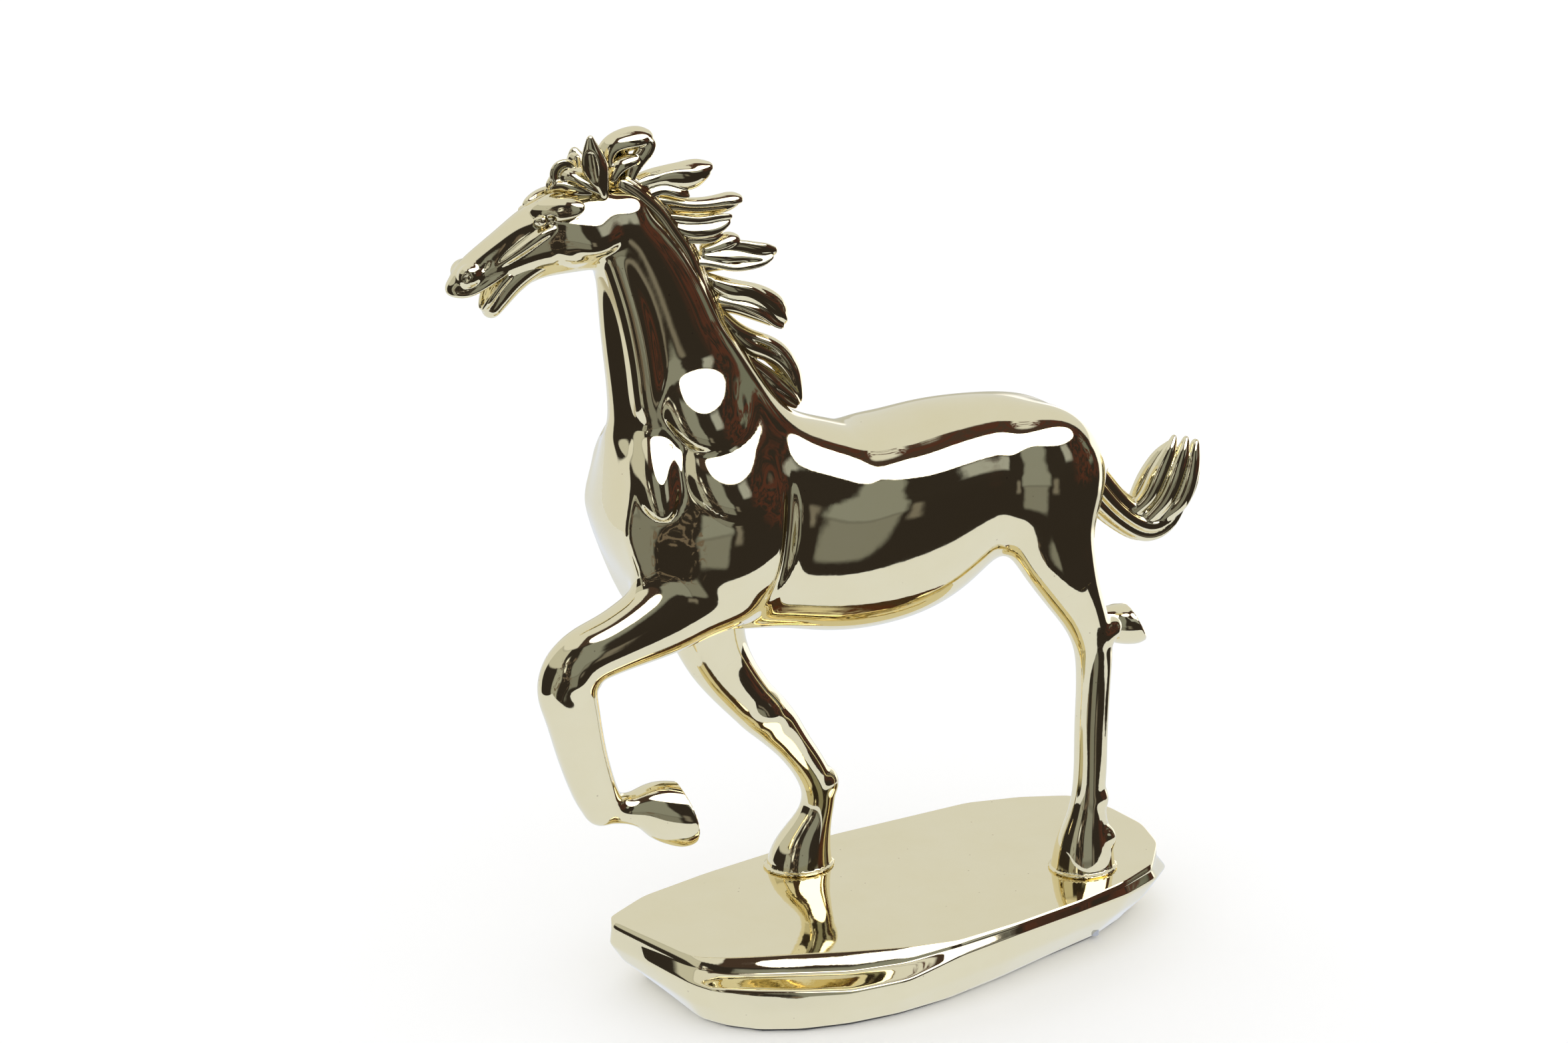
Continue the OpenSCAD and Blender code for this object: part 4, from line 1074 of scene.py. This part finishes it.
# What the polished metal mirrors, by direction: azimuth from, to and elevation from, to in
# degrees (azimuth 0 is -Y, 90 is +X) and colour. Later rows lie over earlier ones.
ROOM = [(-186, -118, -90, -25, (0.50, 0.485, 0.43)),      # foot of the backdrop, far left
        (128, 186, -90, 6, (0.56, 0.56, 0.50)),           # its foot, straight behind
        (-122, 99, -90, 47, (0.030, 0.025, 0.023)),       # dark side of the studio
        (-122, -48, 16, 47, (0.56, 0.58, 0.58)),          # lit wall, far left
        (-64, -42, -30, 16, (0.37, 0.39, 0.38)),          # grey upright
        (-15, 14, -8, 40, (0.25, 0.27, 0.27)),            # grey wall
        (-15, 12, -32, -8, (0.21, 0.22, 0.215)),          # its lower part
        (17, 23, -16, -2, (0.19, 0.18, 0.17)),            # grey things on the dark side
        (35, 47, 11, 27, (0.37, 0.40, 0.43)),
        (75, 86, 1, 23, (0.17, 0.19, 0.18)),
        (66, 97, 30, 64, (0.060, 0.040, 0.034)),          # brown walls
        (-30, 99, 44, 72, (0.060, 0.040, 0.034)),
        (-38, -33, 6, 30, (1.1, 1.15, 1.2)),              # a narrow lit gap
        (97, 150, -20, 9, (1.4, 1.4, 1.5))]               # brightest part of the backdrop
ROOM_EDGE = 2.2                             # softness of their edges, in degrees
WOBBLE = 10.0                               # how far their upright edges wander, in degrees
BACKDROP = (0.74, 0.77, 0.82)
SOFTBOX = (36.0, 45.5, 41.0, 17.5, -0.9)    # azimuth, elevation, their half sizes, lean
SOFTBOX_LIGHT = (3.0, 3.0, 3.2)
SOFTBOX_CORNER = 2.4                        # 2 is an ellipse, more is boxier
# clutter in the dark: azimuth from, to with their softness, colour, and the noise where it starts
REDDISH = ((48.0, 8.0), (96.0, 3.0), (0.085, 0.034, 0.026), (0.52, 0.08))
GREYISH = ((-60.0, 8.0), (-10.0, 3.0), (0.16, 0.13, 0.11), (0.58, 0.02))


def world():
    """White light for the scene, and the room for mirrored rays."""
    w = bpy.data.worlds.new("studio")
    bpy.context.scene.world = w
    w.use_nodes = True
    nodes, links = w.node_tree.nodes, w.node_tree.links
    nodes.clear()

    def calc(operation, *values):
        n = add(nodes, "ShaderNodeMath", operation=operation)
        for i, x in enumerate(values):
            if isinstance(x, (int, float)):
                n.inputs[i].default_value = x
            else:
                links.new(x, n.inputs[i])
        return n.outputs[0]

    def step(x, at, soft):
        n = add(nodes, "ShaderNodeMapRange", interpolation_type="SMOOTHSTEP", From_Min=at - soft,
                From_Max=at + soft)
        links.new(x, n.inputs["Value"])
        return n.outputs["Result"]

    def below(x, at, soft):
        return calc("SUBTRACT", 1.0, step(x, at, soft))

    def between(x, low, high):
        return calc("MULTIPLY", step(x, *low), below(x, *high))

    def noise(**values):
        n = add(nodes, "ShaderNodeTexNoise", **values)
        links.new(direction, n.inputs["Vector"])
        return n.outputs[0]

    direction = nodes.new("ShaderNodeTexCoord").outputs["Generated"]
    split = nodes.new("ShaderNodeSeparateXYZ")
    links.new(direction, split.inputs[0])
    x, y, z = split.outputs
    degrees = 180 / math.pi
    azimuth = calc("MULTIPLY", calc("ARCTAN2", x, calc("MULTIPLY", y, -1.0)), degrees)
    elevation = calc("MULTIPLY", calc("ARCSINE", z), degrees)
    shift = calc("MULTIPLY", calc("SUBTRACT", noise(Scale=3.0, Detail=2.0), 0.5), WOBBLE)
    wavy = calc("ADD", shift, azimuth)

    colour = BACKDROP
    for az0, az1, el0, el1, rgb in ROOM:
        across = between(wavy, (az0, ROOM_EDGE), (az1, ROOM_EDGE))
        up = between(elevation, (el0, ROOM_EDGE), (el1, ROOM_EDGE))
        colour = mixed(nodes, links, calc("MULTIPLY", across, up), colour, rgb)
    clutter = noise(Scale=7.0, Detail=4.0, Distortion=1.5)
    heights = (step(elevation, -10.0, 6.0), below(elevation, 30.0, 8.0))
    for (low, high, rgb, start), height in zip((REDDISH, GREYISH), heights):
        mask = calc("MULTIPLY", between(azimuth, low, high), height)
        mask = calc("MULTIPLY", mask, step(clutter, *start))
        colour = mixed(nodes, links, mask, colour, rgb)
    # softbox: a rounded, leaning oblong
    az0, el0, half_az, half_el, lean = SOFTBOX
    rise = calc("SUBTRACT", elevation, el0)
    side = calc("MULTIPLY_ADD", rise, -lean, calc("SUBTRACT", azimuth, az0))
    ring = calc("ADD", *(calc("POWER", calc("ABSOLUTE", calc("DIVIDE", v, half)), SOFTBOX_CORNER)
                         for v, half in ((rise, half_el), (side, half_az))))
    colour = mixed(nodes, links, below(ring, 1.0, 0.04), colour, SOFTBOX_LIGHT)

    room = nodes.new("ShaderNodeBackground")
    links.new(colour, room.inputs["Color"])
    plain = add(nodes, "ShaderNodeBackground", Color=(1, 1, 1, 1))
    mix = nodes.new("ShaderNodeMixShader")
    links.new(nodes.new("ShaderNodeLightPath").outputs["Is Glossy Ray"], mix.inputs[0])
    links.new(plain.outputs[0], mix.inputs[1])
    links.new(room.outputs[0], mix.inputs[2])
    links.new(mix.outputs[0], nodes.new("ShaderNodeOutputWorld").inputs[0])


def stage_sheet(name, lo, hi, z, **values):
    """A flat oblong of the stage."""
    mesh = bpy.data.meshes.new(name)
    mesh.from_pydata([(lo[0], lo[1], z), (hi[0], lo[1], z), (hi[0], hi[1], z), (lo[0], hi[1], z)],
                     [], [(0, 1, 2, 3)])
    obj = bpy.data.objects.new(name, mesh)
    bpy.context.scene.collection.objects.link(obj)
    mesh.materials.append(plain_material(name, Roughness=0.7, **values)[0])
    return obj


def floor():
    """A wide pale floor for the eye, and the white table top that the metal mirrors."""
    wide = stage_sheet("floor", (-9, -9), (9, 9), 0.0, Base_Color=(0.93, 0.93, 0.93, 1),
                       Emission_Color=(1, 1, 1, 1), Emission_Strength=0.12)
    wide.visible_glossy = False
    table = stage_sheet("table", (-0.40, -0.185), (0.30, 1.2), -0.0004,
                        Base_Color=(0.75, 0.80, 0.92, 1))
    table.visible_camera = False
    table.visible_diffuse = False
    table.visible_shadow = False


CAMERA_AT = (-23.0, 19.0)                   # azimuth and elevation from the target, in degrees
CAMERA_DISTANCE = 1.009
CAMERA_TARGET = (-0.040, 0.006, 0.160)
LENS = (70, 36)                             # focal length and sensor width in mm


def camera():
    az, el = (math.radians(v) for v in CAMERA_AT)
    back = Vector((math.sin(az) * math.cos(el), -math.cos(az) * math.cos(el), math.sin(el)))
    data = bpy.data.cameras.new("camera")
    data.lens, data.sensor_width = LENS
    cam = bpy.data.objects.new("camera", data)
    cam.location = Vector(CAMERA_TARGET) + back * CAMERA_DISTANCE
    cam.rotation_mode = "QUATERNION"
    cam.rotation_quaternion = (-back).to_track_quat("-Z", "Y")
    bpy.context.scene.collection.objects.link(cam)
    bpy.context.scene.camera = cam


castings = build_horse() + build_hair() + build_ears()
castings += [build_comb(), build_tail(), build_jaw(), build_base()]
gold = gold_material()
for obj in castings:
    obj.data.materials.append(gold)
build_felt().data.materials.append(felt_material())
steel = steel_material()
for name in STEEL_NODES:
    node = frame["nodes"][name]
    node.data.materials.clear()
    node.data.materials.append(steel)
world()
floor()
camera()
bpy.context.scene.view_settings.view_transform = "Standard"
